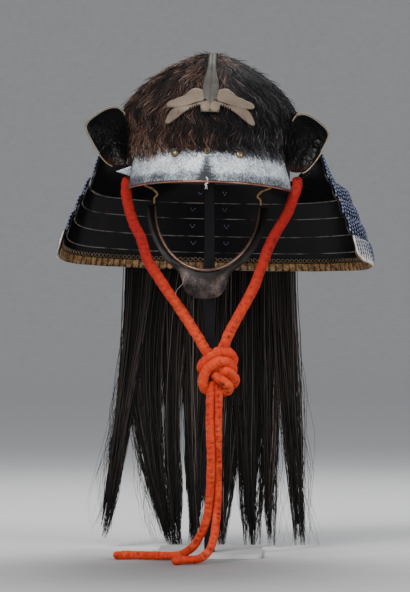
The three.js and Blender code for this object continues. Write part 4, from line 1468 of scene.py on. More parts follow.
@dataclass
class Fur:
    """The fur: a closed skin with raised locks, and loose strands combed over it."""

    inner: float = 1.1 * MM
    outer: float = 4.2 * MM
    lock_rise: float = 1.1 * MM
    hem_z: float = 0.5385
    front_hem_z: float = 0.5345
    strands: int = 6000
    groups: int = 3
    seed: int = 7

    def build(self) -> None:
        """Makes the skin and the strands."""
        columns, rows = 200, 70
        angle, along = grid(columns, rows, 0, 2 * np.pi, around=True)
        along = along * 0.9995
        lumps = ripple(angle * 14, along * 9, 3, 3) * self.lock_rise * (1 - along**4)
        parts = MeshParts()
        outer = leaned(DOME.point(angle, along, self.outer + lumps, self.hem_z))
        inner = leaned(DOME.point(angle, along, self.inner, self.hem_z))
        parts.shell(outer, inner, (0.72, 0.16), around=True)
        settle(parts.build("fur_skin"), FUR_PELT, "fur", "fur_cover")
        for group in range(self.groups):
            self.strand_group(group)

    def hem(self, angle: Array) -> Array:
        """Lowest height of the strands: over the visor's edge in front, lower at the sides.

        Args:
            angle: From the front, in radians.

        Returns:
            Heights.
        """
        turn = np.abs((angle + np.pi) % (2 * np.pi) - np.pi)
        middle = self.front_hem_z + 3 * MM * np.exp(-((turn / 0.05) ** 2))
        return middle - 12.5 * MM * ease(turn, 0.2, 0.75) - 5 * MM * ease(turn, 1.0, 1.6)

    def shade(self, root: Array, angle: Array, along: Array, lock: Array) -> Array:
        """Tone of strands at their roots: russet to the left and by the crest, near black to the right.

        Slow waves spread the two, and each lock keeps a tone of its own.

        Args:
            root: Where the strands start.
            angle: From the front.
            along: Up the dome.
            lock: The angle of the middle of each strand's lock.

        Returns:
            One tone for each strand.
        """
        warm = 0.3 - 1.7 * root[:, 0] + 0.26 * ripple(angle * 5, along * 8, 13)
        by_crest = np.exp(-(((np.abs(root[:, 0]) - 0.022) / 0.014) ** 2)) * ease(root[:, 2], 0.59, 0.62)
        parting = np.exp(-((root[:, 0] / 0.008) ** 2)) * ease(-root[:, 2], -0.575, -0.55)
        warm = warm + (0.26 * by_crest + 0.35 * parting) * (root[:, 1] < 0)
        row = np.round(along * 14)
        return warm + 0.26 * np.sin(lock * 91.0 + row * 2.4) * np.sin(lock * 37.0 + row * 5.1)

    def strand_group(self, group: int) -> None:
        """Combs one group of strands from root to tip.

        A strand starts at a random place, evenly over the dome, and runs down it. It rises off the
        skin as it goes, and its tip leans towards the middle of its lock. One in six is pale.

        Args:
            group: The group's number.
        """
        draw = np.random.default_rng(self.seed + group)
        count = self.strands
        marks = np.linspace(0.0, 0.985, 200)
        profile = DOME.point(np.pi / 2, marks, 0.005, self.hem_z)
        travelled = np.concatenate([[0], np.linalg.norm(np.diff(profile, axis=0), axis=1).cumsum()])
        area = np.cumsum(profile[:, 0] + 0.012)
        along = np.interp(draw.uniform(0, area[-1], count), area, marks)
        angle = draw.uniform(-np.pi, np.pi, count)
        lock = np.round(angle * 17 + 2.0 * np.sin(along * 25)) / 17
        length = draw.uniform(13, 28, count) * MM * (0.75 + 0.5 * ripple(angle * 9, along * 8, 5) ** 2)
        steps = np.linspace(0, 1, 5)[None]
        gone = np.interp(along, marks, travelled)[:, None] - length[:, None] * steps
        rows = np.interp(gone, travelled, marks)
        below = np.minimum(gone, 0)
        sway = draw.normal(0, 0.05, count)[:, None] + 0.16 * ripple(angle * 3, along * 5, 9)[:, None]
        lean = (lock - angle)[:, None] * 0.6
        spread = angle[:, None] + lean * steps**1.5 + sway * steps * (length[:, None] / 0.02) * 0.6
        lift = draw.uniform(0.4, 4.2, count)[:, None] * MM
        lift = lift + (draw.uniform(0, 1, count)[:, None] > 0.93) * draw.uniform(2, 8, count)[:, None] * MM
        root = draw.uniform(2.4, 4.8, count)[:, None] * MM
        offset = root + lift * steps**1.3 * (0.3 + 0.7 * np.sin(steps * 2.2))
        points = DOME.point(spread, rows, offset, self.hem_z)
        points[..., 2] += below
        hem = self.hem(spread) + draw.normal(0, 2.6, count)[:, None] * MM
        points[..., 2] = np.where(points[..., 2] < hem, hem - 0.25 * (hem - points[..., 2]), points[..., 2])
        points = self.over_visor(points, spread, draw)
        pale = draw.uniform(0, 1, count) > 0.83
        tone = self.shade(points[:, 0], angle, along, lock) + draw.normal(0, 0.1, count) + 0.26 * pale
        tone = tone.clip(0, 0.85)[:, None] * (0.55 + 0.6 * steps) + 0.12 * steps**3 * pale[:, None]
        radius = draw.uniform(0.34, 0.6, count)[:, None] * MM * (1 - 0.84 * steps**1.6)
        parts = MeshParts()
        facing = unit(points[:, 2] - np.array([0, 0.01, 0.52]))[:, None]
        parts.tubes(leaned(points), radius, 3, tone=tone.clip(0, 1), facing=facing)
        settle(parts.build(f"fur_strands_{group + 1}"), FUR_HAIR, "fur")

    def over_visor(self, points: Array, angle: Array, draw: np.random.Generator) -> Array:
        """Pushes strands that hang below the visor's top out to lie on its face.

        Args:
            points: The strands.
            angle: Their angles from the front.
            draw: The random numbers.

        Returns:
            The strands, pushed out.
        """
        turn = (angle + np.pi) % (2 * np.pi) - np.pi
        lower = VISOR.lower_z(turn / VISOR.end_angle(turn))
        down = (VISOR.top_z - points[..., 2]) / (VISOR.top_z - lower)
        stand_off = VISOR.stand_off(turn, down.clip(0)) + draw.uniform(0.6, 2.2, (len(points), 1)) * MM
        needed = DOME.plan(angle, stand_off, 1.0, points[..., 2])
        centre = np.array([0, DOME.centre_y])
        reach = np.linalg.norm(points[..., :2] - centre, axis=-1)
        wanted = np.linalg.norm(needed[..., :2] - centre, axis=-1)
        over = (down > -0.1) & (np.abs(turn) < VISOR.end_angle(turn) + 0.03) & (reach < wanted)
        scale = np.where(over, wanted / reach.clip(1e-6), 1.0)[..., None]
        flat = centre + (points[..., :2] - centre) * scale
        return np.concatenate([flat, points[..., 2:]], -1)


# ---- visor


@dataclass
class Visor:
    """The silvered visor with its crease, rolled copper edge, studs and eyelet."""

    wall: float = 2.1 * MM
    rim_radius: float = 1.3 * MM
    crease: float = 0.9 * MM
    tab_corners: Table = ((-99.6, 515.5), (-101.4, 501.5), (-120.5, 507.5))
    # Columns: share of the radius, share of the height.
    stud_profile: Table = (
        (0.02, 0.0), (1.0, 0.0), (1.0, 0.12), (0.93, 0.35), (0.78, 0.66), (0.5, 0.9), (0.25, 0.985),
        (0.01, 1.0),
    )
    # Columns: radius, height.
    eyelet_profile: Table = (
        (2.2, 0), (4.2, 0), (4.15, 0.8), (3.9, 1.7), (3.3, 2.5), (2.8, 2.6), (2.35, 2.3), (2.2, 1.8),
        (2.2, 0.01),
    )
    # Columns: name, angle from the front, share down the visor, radius, height.
    studs: tuple[tuple[str, float, float, float, float], ...] = (
        ("visor_stud_left", -21, 0.15, 5.6, 3.6),
        ("visor_stud_right", 21.3, 0.15, 5.6, 3.6),
        ("visor_rivet_left", -49, 0.3, 2.6, 1.6),
        ("visor_rivet_right", 53.8, 0.3, 2.6, 1.6),
    )

    def build(self) -> None:
        """Makes the plate, the rolled edge, the studs and the eyelet."""
        columns, rows = 150, 30
        across, along = grid(columns, rows, -1, 1)
        width = 0.018 + 0.05 * along
        fold = np.exp(-((across / width) ** 2)) * ease(along, 0.12, 0.4)
        # Painted shade: darker along the lower band over the rim, towards the left end and below the fur's
        # edge.
        band = 0.5 * ease(along, 0.66, 0.88) + 0.3 * ease(-across, 0.5, 0.95)
        band = band + 0.35 * (1 - ease(along, 0.1, 0.45))
        hammered = ripple(across * 22, along * 9, 21, 3) * 0.18 * MM
        parts = MeshParts()
        outer = leaned(VISOR.point(across, along, self.crease * fold - hammered))
        inner = leaned(VISOR.point(across, along, self.wall))
        # The tone is painted shade: darkest in the crease, plus the band.
        shade = (0.85 * fold + band).clip(0, 1)
        parts.shell(outer, inner, (0.25, 0.05), tone=shade)
        settle(parts.build("silver_visor"), SILVER, "silver", "visor")

        across = np.linspace(-0.997, 0.997, 140)
        edge = VISOR.point(across, 1.0, self.wall / 2)
        edge[:, 2] -= self.rim_radius + 0.4 * MM
        wear = 1 + 0.07 * ripple(across * 30, across * 3, 4)
        parts = MeshParts()
        parts.tubes(leaned(edge), (self.rim_radius * wear)[None], 12)
        settle(parts.build("copper_visor_rim"), COPPER, "copper", "visor_rim")

        self.tab()
        for name, degrees, along_at, radius, height in self.studs:
            profile = np.array(self.stud_profile) * (radius * MM, height * MM)
            self.turned_piece(name, profile, degrees, along_at)
        self.turned_piece("visor_eyelet", np.array(self.eyelet_profile) * MM, 0, 0.08)

    def tab(self) -> None:
        """The silvered tab that shows beside the visor's left end."""
        corners = np.array(self.tab_corners) * MM
        share, inward = grid(60, 6, around=True)
        closed = np.vstack([corners, corners[:1]])
        edge = np.stack([np.interp(share * 3, range(4), closed[:, axis]) for axis in (0, 1)], -1)
        flat = edge + (corners.mean(0) - edge) * (inward * 0.99)[..., None]
        bulge = 0.5 * MM * ease(inward, 0.0, 0.2)
        front = np.stack([flat[..., 0], -60.4 * MM - bulge, flat[..., 1]], -1)
        back = np.stack([flat[..., 0], np.full_like(bulge, -59.1 * MM), flat[..., 1]], -1)
        parts = MeshParts()
        # Tone 0.25 paints the whole tab in shade, like the visor's left end.
        parts.shell(leaned(front), leaned(back), (0.05, 0.01), around=True, tone=0.25)
        settle(parts.build("silver_temple_tab"), SILVER, "silver", "temple_tab")

    def turned_piece(self, name: str, profile: Array, degrees: float, along: float) -> None:
        """Turns a profile about the visor's outward direction at a place.

        Args:
            name: The CAD node that it replaces.
            profile: Rows of radius and height.
            degrees: Angle from the front.
            along: Share of the way down the visor.
        """
        across = math.radians(degrees) / float(VISOR.end_angle(degrees))
        out = VISOR.normal(across, along)
        base = VISOR.point(np.array(across), np.array(along), 0.0) + out * 0.4 * MM
        right = unit(np.cross(out, [0.0, 0.0, 1.0]))
        up = np.cross(right, out)
        turn = np.arange(28) * 2 * np.pi / 28
        radius, height = profile.T
        spokes = np.cos(turn)[:, None] * right + np.sin(turn)[:, None] * up
        rings = base + height[:, None, None] * out + radius[:, None, None] * spokes[None]
        flow = np.broadcast_to(plain_flow(len(profile), 29, 0.01, 0.03)[None], (1, len(profile), 29, 2))
        parts = MeshParts()
        parts.rings(leaned(rings)[None], flow)
        settle(parts.build(f"turned_{name}"), BRASS, "brass", name)


# ---- dragonfly crest


@dataclass
class Crest:
    """The flat brass dragonfly: a grooved body, a two-lobed head and two wings on each side."""

    stand_off: float = 8.4 * MM
    wall: float = 1.8 * MM
    body_rise: float = 3.2 * MM
    shift: float = 2.7 * MM
    # Columns: span from the body, top edge, bottom edge.
    upper_wing: Table = (
        (4, 615, 600), (12, 614.5, 598), (19, 616.3, 596), (27, 613.2, 593), (34, 606.3, 591),
        (41, 603.4, 589.5), (48, 600.3, 589.3), (54, 597.8, 589.8), (56.4, 595.8, 590.8), (57.4, 594, 592.2),
    )
    lower_wing: Table = (
        (4, 600, 592), (14, 597, 592.5), (22, 594, 589), (28, 593, 586.5), (35, 592, 582),
        (42, 590.5, 576.3), (47, 589, 572.6), (52, 584.8, 569.3), (56, 578, 568.3), (58.3, 572, 569.3),
    )
    # Columns: height, half-width.
    body: Table = (
        (584, 11.6), (590, 12.8), (597.5, 12.6), (601, 9), (607, 9.6), (617, 10.6), (627, 9.5), (634, 8),
        (640, 6.8), (648, 5.6), (656, 5.3), (664, 5.1), (669.5, 4.6),
    )

    def skin(self, x: Array, z: Array, height: Numbers) -> Array:
        """A point over the fur, raised by a height."""
        x = x + self.shift
        return np.stack(np.broadcast_arrays(x, DOME.front_y(x, z, self.stand_off + height), z), -1)

    def build(self) -> None:
        """Makes the wings as one piece and the body as another."""
        parts = MeshParts()
        for side in Side:
            for number, table in enumerate((self.upper_wing, self.lower_wing)):
                self.wing(parts, np.array(table) * MM, side, number)
        settle(parts.build("crest_wings"), PALE_BRASS, "brass", "dragonfly_crest")
        parts = MeshParts()
        across, share = grid(30, 90, -1, 1)
        table = np.array(self.body) * MM
        z = table[0, 0] + (table[-1, 0] - table[0, 0]) * share
        half = hermite(table, z)[..., 0]
        x = across * half
        groove = np.exp(-((x / (0.75 * MM)) ** 2)) * 1.5 * MM
        rise = self.body_rise * (0.3 + 0.7 * ease(z, 0.598, 0.606))
        crown = self.wall + rise * (1 - across**4) - groove
        outer = leaned(self.skin(x, z, crown))
        inner = leaned(self.skin(x, z, 0.0))
        parts.shell(outer, inner, (0.02, 0.09))
        settle(parts.build("crest_body"), GREY_BRASS, "brass", "dragonfly_crest")
        self.head()

    def head(self) -> None:
        """Two rounded lobes, flat below, and over each a black rod painted as the shade in a slit."""
        lobes, slit_shades = MeshParts(), MeshParts()
        for side in Side:
            turn, inward = grid(40, 8, 0, 2 * np.pi, around=True)
            reach = 1 - inward * 0.999
            x = side.value * 6.0 * MM + 6.7 * MM * reach * np.cos(turn)
            z = 591.4 * MM + 7.8 * MM * reach * np.maximum(np.sin(turn), -0.95)
            height = self.wall + (1.2 + 2.0 * np.sqrt(1 - reach**2)) * MM
            outer, inner = self.skin(x, z, height), self.skin(x, z, self.wall)
            lobes.shell(leaned(outer), leaned(inner), (0.03, 0.006), around=True)
            share = np.linspace(-1, 1, 12)
            x = side.value * (7.0 + 2.6 * share) * MM
            z = (600.2 - 1.6 * share**2 - 0.9 * share) * MM
            path = self.skin(x, z, self.wall + 1.2 * MM)
            slit_shades.tubes(leaned(path), (1.1 * MM * np.sqrt(1 - 0.9 * share**2))[None], 8)
        settle(lobes.build("crest_head"), PALE_BRASS, "brass")
        # The black rods are painted shade standing in for the slits.
        settle(slit_shades.build("crest_slit_shades"), BLACK_PAINT, "black_paint")

    def wing(self, parts: MeshParts, table: Array, side: Side, number: int) -> None:
        """Adds one wing between its two edge curves.

        The face is domed a little, its edges are turned down, and by the head the lower wing's edge is
        cut into a comb of fine teeth.

        Args:
            parts: The mesh to add to.
            table: Rows of the wing's table, in metres.
            side: Its side.
            number: 0 for the upper wing, 1 for the lower.
        """
        columns, rows = 110, 14
        share, down = grid(columns, rows)
        x = table[0, 0] + (table[-1, 0] - table[0, 0]) * share
        edges = hermite(table, x)
        top, bottom = edges[..., 0], edges[..., 1]
        if number == 1:
            teeth = np.abs(((x / (2.9 * MM)) % 1.0) - 0.5) * 2
            band = ease(x, 14 * MM, 15 * MM) * (1 - ease(x, 27 * MM, 28 * MM))
            bottom = bottom + band * (teeth - 0.25) * 4.6 * MM
        z = top + (bottom - top) * down
        edge = np.minimum(down, 1 - down) * (top - bottom) + 0.1 * MM
        height = self.wall * (0.35 + 0.65 * ease(edge, 0.0, 1.3 * MM)) + 0.5 * MM * np.sin(np.pi * down)
        height = height + (0.5 * MM if number == 1 else 0)
        outer = leaned(self.skin(side.value * x, z, height))
        inner = leaned(self.skin(side.value * x, z, 0.0))
        parts.shell(outer, inner, (0.055, 0.02))


# ---- ear turn-backs


@dataclass
class EarTurnBacks:
    """The two upright turn-backs: hollow plates of lacquered hide with a thin gilt rim."""

    rim_y: float = -62 * MM
    lean: float = 0.12
    hollow: float = 9 * MM
    wall: float = 2.4 * MM
    rim_radius: float = 1.4 * MM
    centre: tuple[float, float] = (129 * MM, 556 * MM)
    root_x: float = 106 * MM
    rim_span: tuple[float, float] = (0.045, 0.66)
    # How far each reaches out, as a share of the outline's, and how much lower it sits.
    fit: dict[Side, tuple[float, float]] = field(
        default_factory=lambda: {Side.LEFT: (1.0, 1 * MM), Side.RIGHT: (0.93, 5 * MM)}
    )
    # Once round from the lower edge: x outwards, z up.
    outline: Table = (
        (116, 516), (125, 517), (132.5, 521), (143.6, 534), (152.8, 548.7), (160.5, 566.5), (158, 573),
        (150, 580), (137, 588.5), (124, 592), (116.5, 589.5), (109, 576), (106.5, 560), (106, 540),
        (106, 527), (108.5, 518),
    )

    def boundary(self, count: int) -> Array:
        """The outline as evenly spaced points of the front view."""
        corners = np.array([(x, 0, z) for x, z in self.outline]) * MM
        return smooth_path(corners, count, closed=True)

    def placed(self, x: Array, z: Array, depth: Array, side: Side) -> Array:
        """A point of the front view, sized and lowered for its side, at a depth behind the rim.

        Args:
            x: Outwards.
            z: Height.
            depth: Behind the rim.
            side: Which turn-back.

        Returns:
            Points, leaned.
        """
        reach, drop = self.fit[side]
        out = (x - self.root_x) * reach
        y = self.rim_y + depth + self.lean * out
        return leaned(np.stack([side.value * (self.root_x + out), y, z - drop], -1))

    def build(self) -> None:
        """Makes a plate and a rim on each side."""
        for side in Side:
            self.plate(side)
            self.rim(side)

    def plate(self, side: Side) -> None:
        """Dishes the outline: depth = hollow (1 - (1 - s)^2) at a share s of the way in.

        Args:
            side: Which turn-back.
        """
        columns, rows = 120, 26
        edge = self.boundary(columns)
        _, inward = grid(columns, rows, around=True)
        inward = inward * 0.999
        x = edge[:, None, 0] + (self.centre[0] - edge[:, None, 0]) * inward
        z = edge[:, None, 2] + (self.centre[1] - edge[:, None, 2]) * inward
        depth = self.hollow * (1 - (1 - inward) ** 2)
        wrinkle = ripple(x * 170, z * 120, 17 + side.value, 4) * 0.9 * MM * ease(inward, 0.05, 0.4)
        front = self.placed(x, z, depth + wrinkle, side)
        back = self.placed(x, z, depth + wrinkle + self.wall, side)
        low = ease(-z, -0.540, -0.518)
        parts = MeshParts()
        parts.shell(front, back, (0.25, 0.05), around=True, tone=low)
        name = f"ear_turn_back_{side.label}"
        settle(parts.build(f"hide_{name}"), EAR_HIDE, "leather", name)

    def rim(self, side: Side) -> None:
        """Runs a thin rod along the upper and outer edge.

        Args:
            side: Which turn-back.
        """
        whole = self.boundary(600)
        first, last = (int(share * 600) for share in self.rim_span)
        edge = whole[first:last:5]
        centre = np.array([self.centre[0], 0, self.centre[1]])
        edge = edge + unit(edge - centre) * (self.rim_radius + 0.5 * MM)
        rod = self.placed(edge[:, 0], edge[:, 2], self.wall / 2, side)
        parts = MeshParts()
        parts.tubes(rod, self.rim_radius * 0.65, 10)
        settle(parts.build(f"gilt_ear_rim_{side.label}"), GILT, "gilt", f"ear_rim_{side.label}")


# ---- neck guard


@dataclass
class NeckGuard:
    """Five lacquered plates, their silk lacing, the gilt hem and the white corner bindings."""

    wall: float = 1.6 * MM
    overlap: float = 5 * MM
    step: float = 2.6 * MM
    end_angle: float = 100.0
    corner_arc: float = 9.0
    corner_rise: float = 13 * MM
    binding_angle: float = 79.0
    # Columns: half-width at the sides and ends, reach behind, height behind, at the sides and ends.
    ring_table: Table = (
        (118, 147, 132, 504, 506, 543),
        (183, 161.4, 150, 476, 481, 497),
        (193.8, 171.8, 163, 455, 459, 475),
        (204.2, 181.8, 176, 431, 436, 452),
        (214.5, 192.5, 189, 409, 413, 428),
        (222.5, 205, 200, 385.5, 388, 398),
    )

    def ring(self, number: int, angle: Array) -> Array:
        """A point of one of the guard's edges; the angle runs from the rear, in degrees.

        Args:
            number: The edge, from 0 at the top.
            angle: From the rear, in degrees.

        Returns:
            Points of the straight guard.
        """
        side, front, rear, rear_z, side_z, front_z = np.array(self.ring_table[number]) * MM
        turn = np.abs(angle)
        half = side + (front - side) * ease(turn, 66, self.end_angle)
        level = rear_z + (side_z - rear_z) * ease(turn, 20, 80)
        x = half * np.sin(np.radians(angle))
        y = DOME.centre_y + rear * np.cos(np.radians(angle))
        return np.stack([x, y, level + (front_z - level) * ease(turn, 58, self.end_angle)], -1)

    def point(self, number: int, angle: Array, along: Array, inset: Numbers) -> Array:
        """A point of a plate.

        The top edge stands a step outside the bottom edge of the plate above and laps behind it. The
        front corners rise by a quarter circle over the corner's arc.

        Args:
            number: The plate, from 1 at the top.
            angle: From the rear, in degrees.
            along: 0 at the top edge, 1 at the bottom.
            inset: Distance inside the outer skin, level.

        Returns:
            Points, swung and leaned with the guard.
        """
        angle, along = np.broadcast_arrays(angle, along)
        top, bottom = self.ring(number - 1, angle), self.ring(number, angle)
        first = number == 1
        outward = np.stack([top[..., 0], top[..., 1] - DOME.centre_y, 0 * top[..., 0]], -1)
        outward = unit(outward)
        top = top + outward * (0 if first else self.step)
        top[..., 2] += 0 if first else self.overlap
        corner = (1 - (self.end_angle - np.abs(angle)) / self.corner_arc).clip(0, 1)
        rise = self.corner_rise * (1 - np.sqrt(1 - corner**2))
        share = np.minimum(rise / (top[..., 2] - bottom[..., 2]), 0.6)[..., None]
        bottom = bottom + (top - bottom) * share
        return swung(top + (bottom - top) * along[..., None] - outward * np.asarray(inset)[..., None])

    def build(self) -> None:
        """Makes the plates, then what is on them."""
        for number in range(1, 6):
            self.plate(number)
        self.hem()
        self.hem_rings()
        self.bindings()
        self.lacing()
        self.inner_stitches()

    def plate(self, number: int) -> None:
        """Makes one plate, with a rounded lower edge and its pale line of wear and painted highlight.

        Args:
            number: The plate, from 1 at the top.
        """
        columns, rows = 190, 18
        angle, along = grid(columns, rows, -self.end_angle, self.end_angle)
        along = 1 - (1 - along) ** 1.6
        warp = ripple(angle * 0.09, along * 3, 40 + number, 3) * 0.25 * MM
        parts = MeshParts()
        outer = self.point(number, angle, along, warp)
        inner = self.point(number, angle, along, self.wall + warp)
        by_end = ease(np.abs(angle), self.end_angle - 14, self.end_angle - 4)
        # Pale line along the lower edge, worn lacquer and painted highlight, fainter near the ends.
        line = ease(along, 0.965, 0.99) * (1 - 0.7 * by_end)
        parts.shell(outer, inner, (0.6, 0.03), tone=line)
        name = f"neck_lame_{number}"
        settle(parts.build(f"lacquer_{name}"), BLACK_LACQUER, "lacquer", name)

    def hem(self) -> None:
        """The gilt leather strip inside the lowest plate, its lower edge in small scallops."""
        columns, rows = 1500, 8
        end = self.end_angle - 2
        angle, share = grid(columns, rows, -end, end)
        scallop = np.abs(np.sin(np.radians(angle) * 66))
        along = 0.62 + (0.86 + 0.13 * scallop**0.7 - 0.62) * share
        relief = 0.5 * MM * scallop * np.sin(np.pi * share)
        inset = self.wall + 1.0 * MM
        parts = MeshParts()
        outer = self.point(5, angle, along, inset)
        inner = self.point(5, angle, along, inset + 1.0 * MM + relief)
        # The tone paints shade between the scallops.
        parts.shell(outer, inner, (0.6, 0.01), tone=0.22 * (1 - scallop) ** 3)
        settle(parts.build("gilt_hem_strip"), GILT_LEATHER, "gilt", "gilt_hem")

    def hem_rings(self) -> None:
        """A row of small sewn rings above the gilt strip."""
        count, segments = 104, 14
        angle = np.linspace(-self.end_angle + 5, self.end_angle - 5, count)[:, None]
        turn = np.linspace(0, 2 * np.pi, segments + 1)[None] + 0.5
        along = 0.50 + 0.085 * np.sin(turn)
        around = angle + 0.68 * np.cos(turn)
        paths = self.point(5, around, along, self.wall + 1.0 * MM)
        parts = MeshParts()
        parts.tubes(paths, 0.55 * MM, 5)
        settle(parts.build("hem_rings"), GILT, "gilt")

    def bindings(self) -> None:
        """White hide round the lower front corners, with a zigzag of dark stitches."""
        for side in Side:
            angle, along = grid(40, 24, self.binding_angle, self.end_angle)
            puff = 0.7 * MM * np.sin(np.pi * along)
            along = 0.12 + 0.88 * along
            outer = self.point(5, side.value * angle, along, -1.8 * MM - puff)
            inner = self.point(5, side.value * angle, along, -0.4 * MM)
            parts = MeshParts()
            parts.shell(outer, inner, (0.06, 0.03))
            name = f"corner_binding_{side.label}"
            settle(parts.build(f"white_{name}"), WHITE_HIDE, "white_binding", name)

    def lacing(self) -> None:
        """Upright braids on the outside of the plates, each over a plate's face to the next one's top.

        A braid's path stands 1 mm off the plate, bows out in its middle and dips in at both ends.
        """
        parts = MeshParts()
        steps = np.linspace(0, 1, 9)[None]
        for number in range(1, 6):
            count = 74
            angle = np.linspace(-self.end_angle + 1.6, self.end_angle - 1.6, count)[:, None]
            bow = np.sin(np.pi * steps) ** 0.6
            sway = 0.25 * np.sin(steps * np.pi + number)
            paths = self.point(number, angle + sway, 0.06 + 0.86 * steps, -(0.6 + 1.9 * bow) * MM)
            centre = np.array([0, DOME.centre_y, 0])
            facing = unit((paths[:, 4:5] - centre) * np.array([1, 1, 0]) + np.array([0, 0, 0.1]))
            tone = np.random.default_rng(90 + number).uniform(0, 1, (count, 1)) + 0 * steps
            parts.tubes(paths, 2.6 * MM, 8, tone=tone, facing=facing, flatten=0.42)
        settle(parts.build("silk_lacing"), BLUE_SILK, "lacquer")

    def inner_stitches(self) -> None:
        """Short turns of the lacing that show inside the plates, in two columns beside the post."""
        parts = MeshParts()
        turn = np.linspace(-0.2, np.pi + 0.2, 12)
        for number in range(1, 6):
            centres = np.array([-15.4, -2.0])[:, None] + 0.5 * np.sin(number * np.array([[2.0], [3.0]]))
            angle = centres + 0.8 * np.cos(turn)[None]
            paths = self.point(number, angle, 0.45 + 0.12 * np.sin(turn)[None], self.wall + 0.8 * MM)
            parts.tubes(paths, 0.6 * MM, 6, tone=0.3)
        settle(parts.build("inner_lacing_turns"), BLUE_SILK, "lacquer")


# ---- chin guard


@dataclass
class ChinGuard:
    """The russet chin and cheek guard, its rolled rim and the ties that hang it."""

    half_width: float = 72 * MM
    rise: float = 88 * MM
    rim_z: float = 377 * MM
    front_y: float = -86 * MM
    wrap: float = 60 * MM
    cheek_depth: float = 8 * MM
    chin_depth: float = 27 * MM
    chin_angle: float = math.radians(18.5)
    bulge: float = 9 * MM
    wall: float = 2.5 * MM
    rim_radius: float = 2.2 * MM

    # From under the brow band down to the cheek.
    tie_points: Table = ((88, -24, 499), (82, -34, 491), (73, -40, 487), (66, -40, 480), (70, -32, 475))

    def point(self, across: Array, down: Numbers, inset: Numbers) -> Array:
        """A point of the guard.

        The rim is half an ellipse that wraps back by wrap (1 - cos). The plate stands out from it by
        its depth, more below the chin, and bulges forward by a half sine.

        Args:
            across: -1 to 1 from cheek to cheek.
            down: 0 at the rim, 1 at the lower edge.
            inset: Distance behind the front face.

        Returns:
            Points, not leaned.
        """
        turn = np.pi / 2 * across
        prominence = np.exp(-((np.abs(turn) / self.chin_angle) ** 4))
        depth = (self.cheek_depth + self.chin_depth * prominence) * down
        out = unit(np.stack([np.sin(turn) / self.half_width, 0 * turn, -np.cos(turn) / self.rise], -1))
        forward = self.bulge * np.sin(np.pi * (0.15 + 0.6 * down)) * (0.4 + 0.6 * prominence)
        face = unit(np.stack([-np.sin(turn) * 0.55, np.ones_like(turn), 0 * turn], -1))
        x = self.half_width * np.sin(turn) + out[..., 0] * depth
        y = self.front_y + self.wrap * (1 - np.cos(turn)) - forward
        z = self.rim_z + self.rise * (1 - np.cos(turn)) + out[..., 2] * depth
        return np.stack([x, y, z], -1) + face * np.asarray(inset)[..., None]

    def build(self) -> None:
        """Makes the plate, the rim and the ties."""
        columns, rows = 150, 30
        across, down = grid(columns, rows, -1, 1)
        dents = ripple(across * 9, down * 3, 61, 3) * 1.0 * MM * np.sin(np.pi * down.clip(0.02, 0.98))
        fold = np.exp(-((across + 0.34) ** 2) / 0.0016) * 1.6 * MM * down
        inset = dents + fold
        # The tone is painted shade: darker towards the cheeks and along the rim.
        shade = 0.06 + ease(np.abs(across), 0.25, 0.55) * 0.6 + ease(-down, -0.4, -0.05) * 0.12
        parts = MeshParts()
        outer = leaned(self.point(across, down, inset))
        inner = leaned(self.point(across, down, self.wall + inset))
        parts.shell(outer, inner, (0.25, 0.03), tone=shade)
        settle(parts.build("russet_chin_guard"), RUSSET, "russet", "chin_guard")

        across = np.linspace(-0.998, 0.998, 160)
        edge = self.point(across, 0.0, self.wall / 2)
        lower = self.point(across, 0.05, self.wall / 2)
        edge = edge + unit((edge - lower) * np.array([1, 0, 1])) * (self.rim_radius + 0.6 * MM)
        parts = MeshParts()
        wear = 1 + 0.05 * ripple(across * 24, across * 4, 6)
        thin = 0.45 + 0.55 * (1 - ease(np.abs(across), 0.5, 1.0))
        parts.tubes(leaned(edge), (self.rim_radius * wear * thin)[None], 12)
        settle(parts.build("rolled_chin_rim"), RUSSET_RIM, "silver", "chin_guard_rim")
        for side in Side:
            self.tie(side)

    def tie(self, side: Side) -> None:
        """Two loosely twisted strands from under the brow band to the cheek.

        Args:
            side: Which cheek.
        """
        cheek = self.point(np.array(float(side.value)), 0.0, self.wall / 2)
        rough = [(side.value * x * MM, y * MM, z * MM) for x, y, z in self.tie_points]
        path = smooth_path(np.array([*rough, cheek + np.array([-side.value, 0, 4]) * MM]), 90)
        run = np.linspace(0, 7 * np.pi, 90)[:, None]
        across = carried(unit(np.gradient(path[None], axis=1)))[0]
        parts = MeshParts()
        for phase in (0.0, np.pi):
            swing = across * np.cos(run + phase) + np.array([0, 1.0, 0]) * np.sin(run + phase)
            parts.tubes(leaned(path + swing * 1.2 * MM), 1.1 * MM, 8)
        name = f"cheek_tie_{side.label}"
        settle(parts.build(f"twisted_{name}"), OCHRE, "ochre_cord", name)


# ---- hair plume


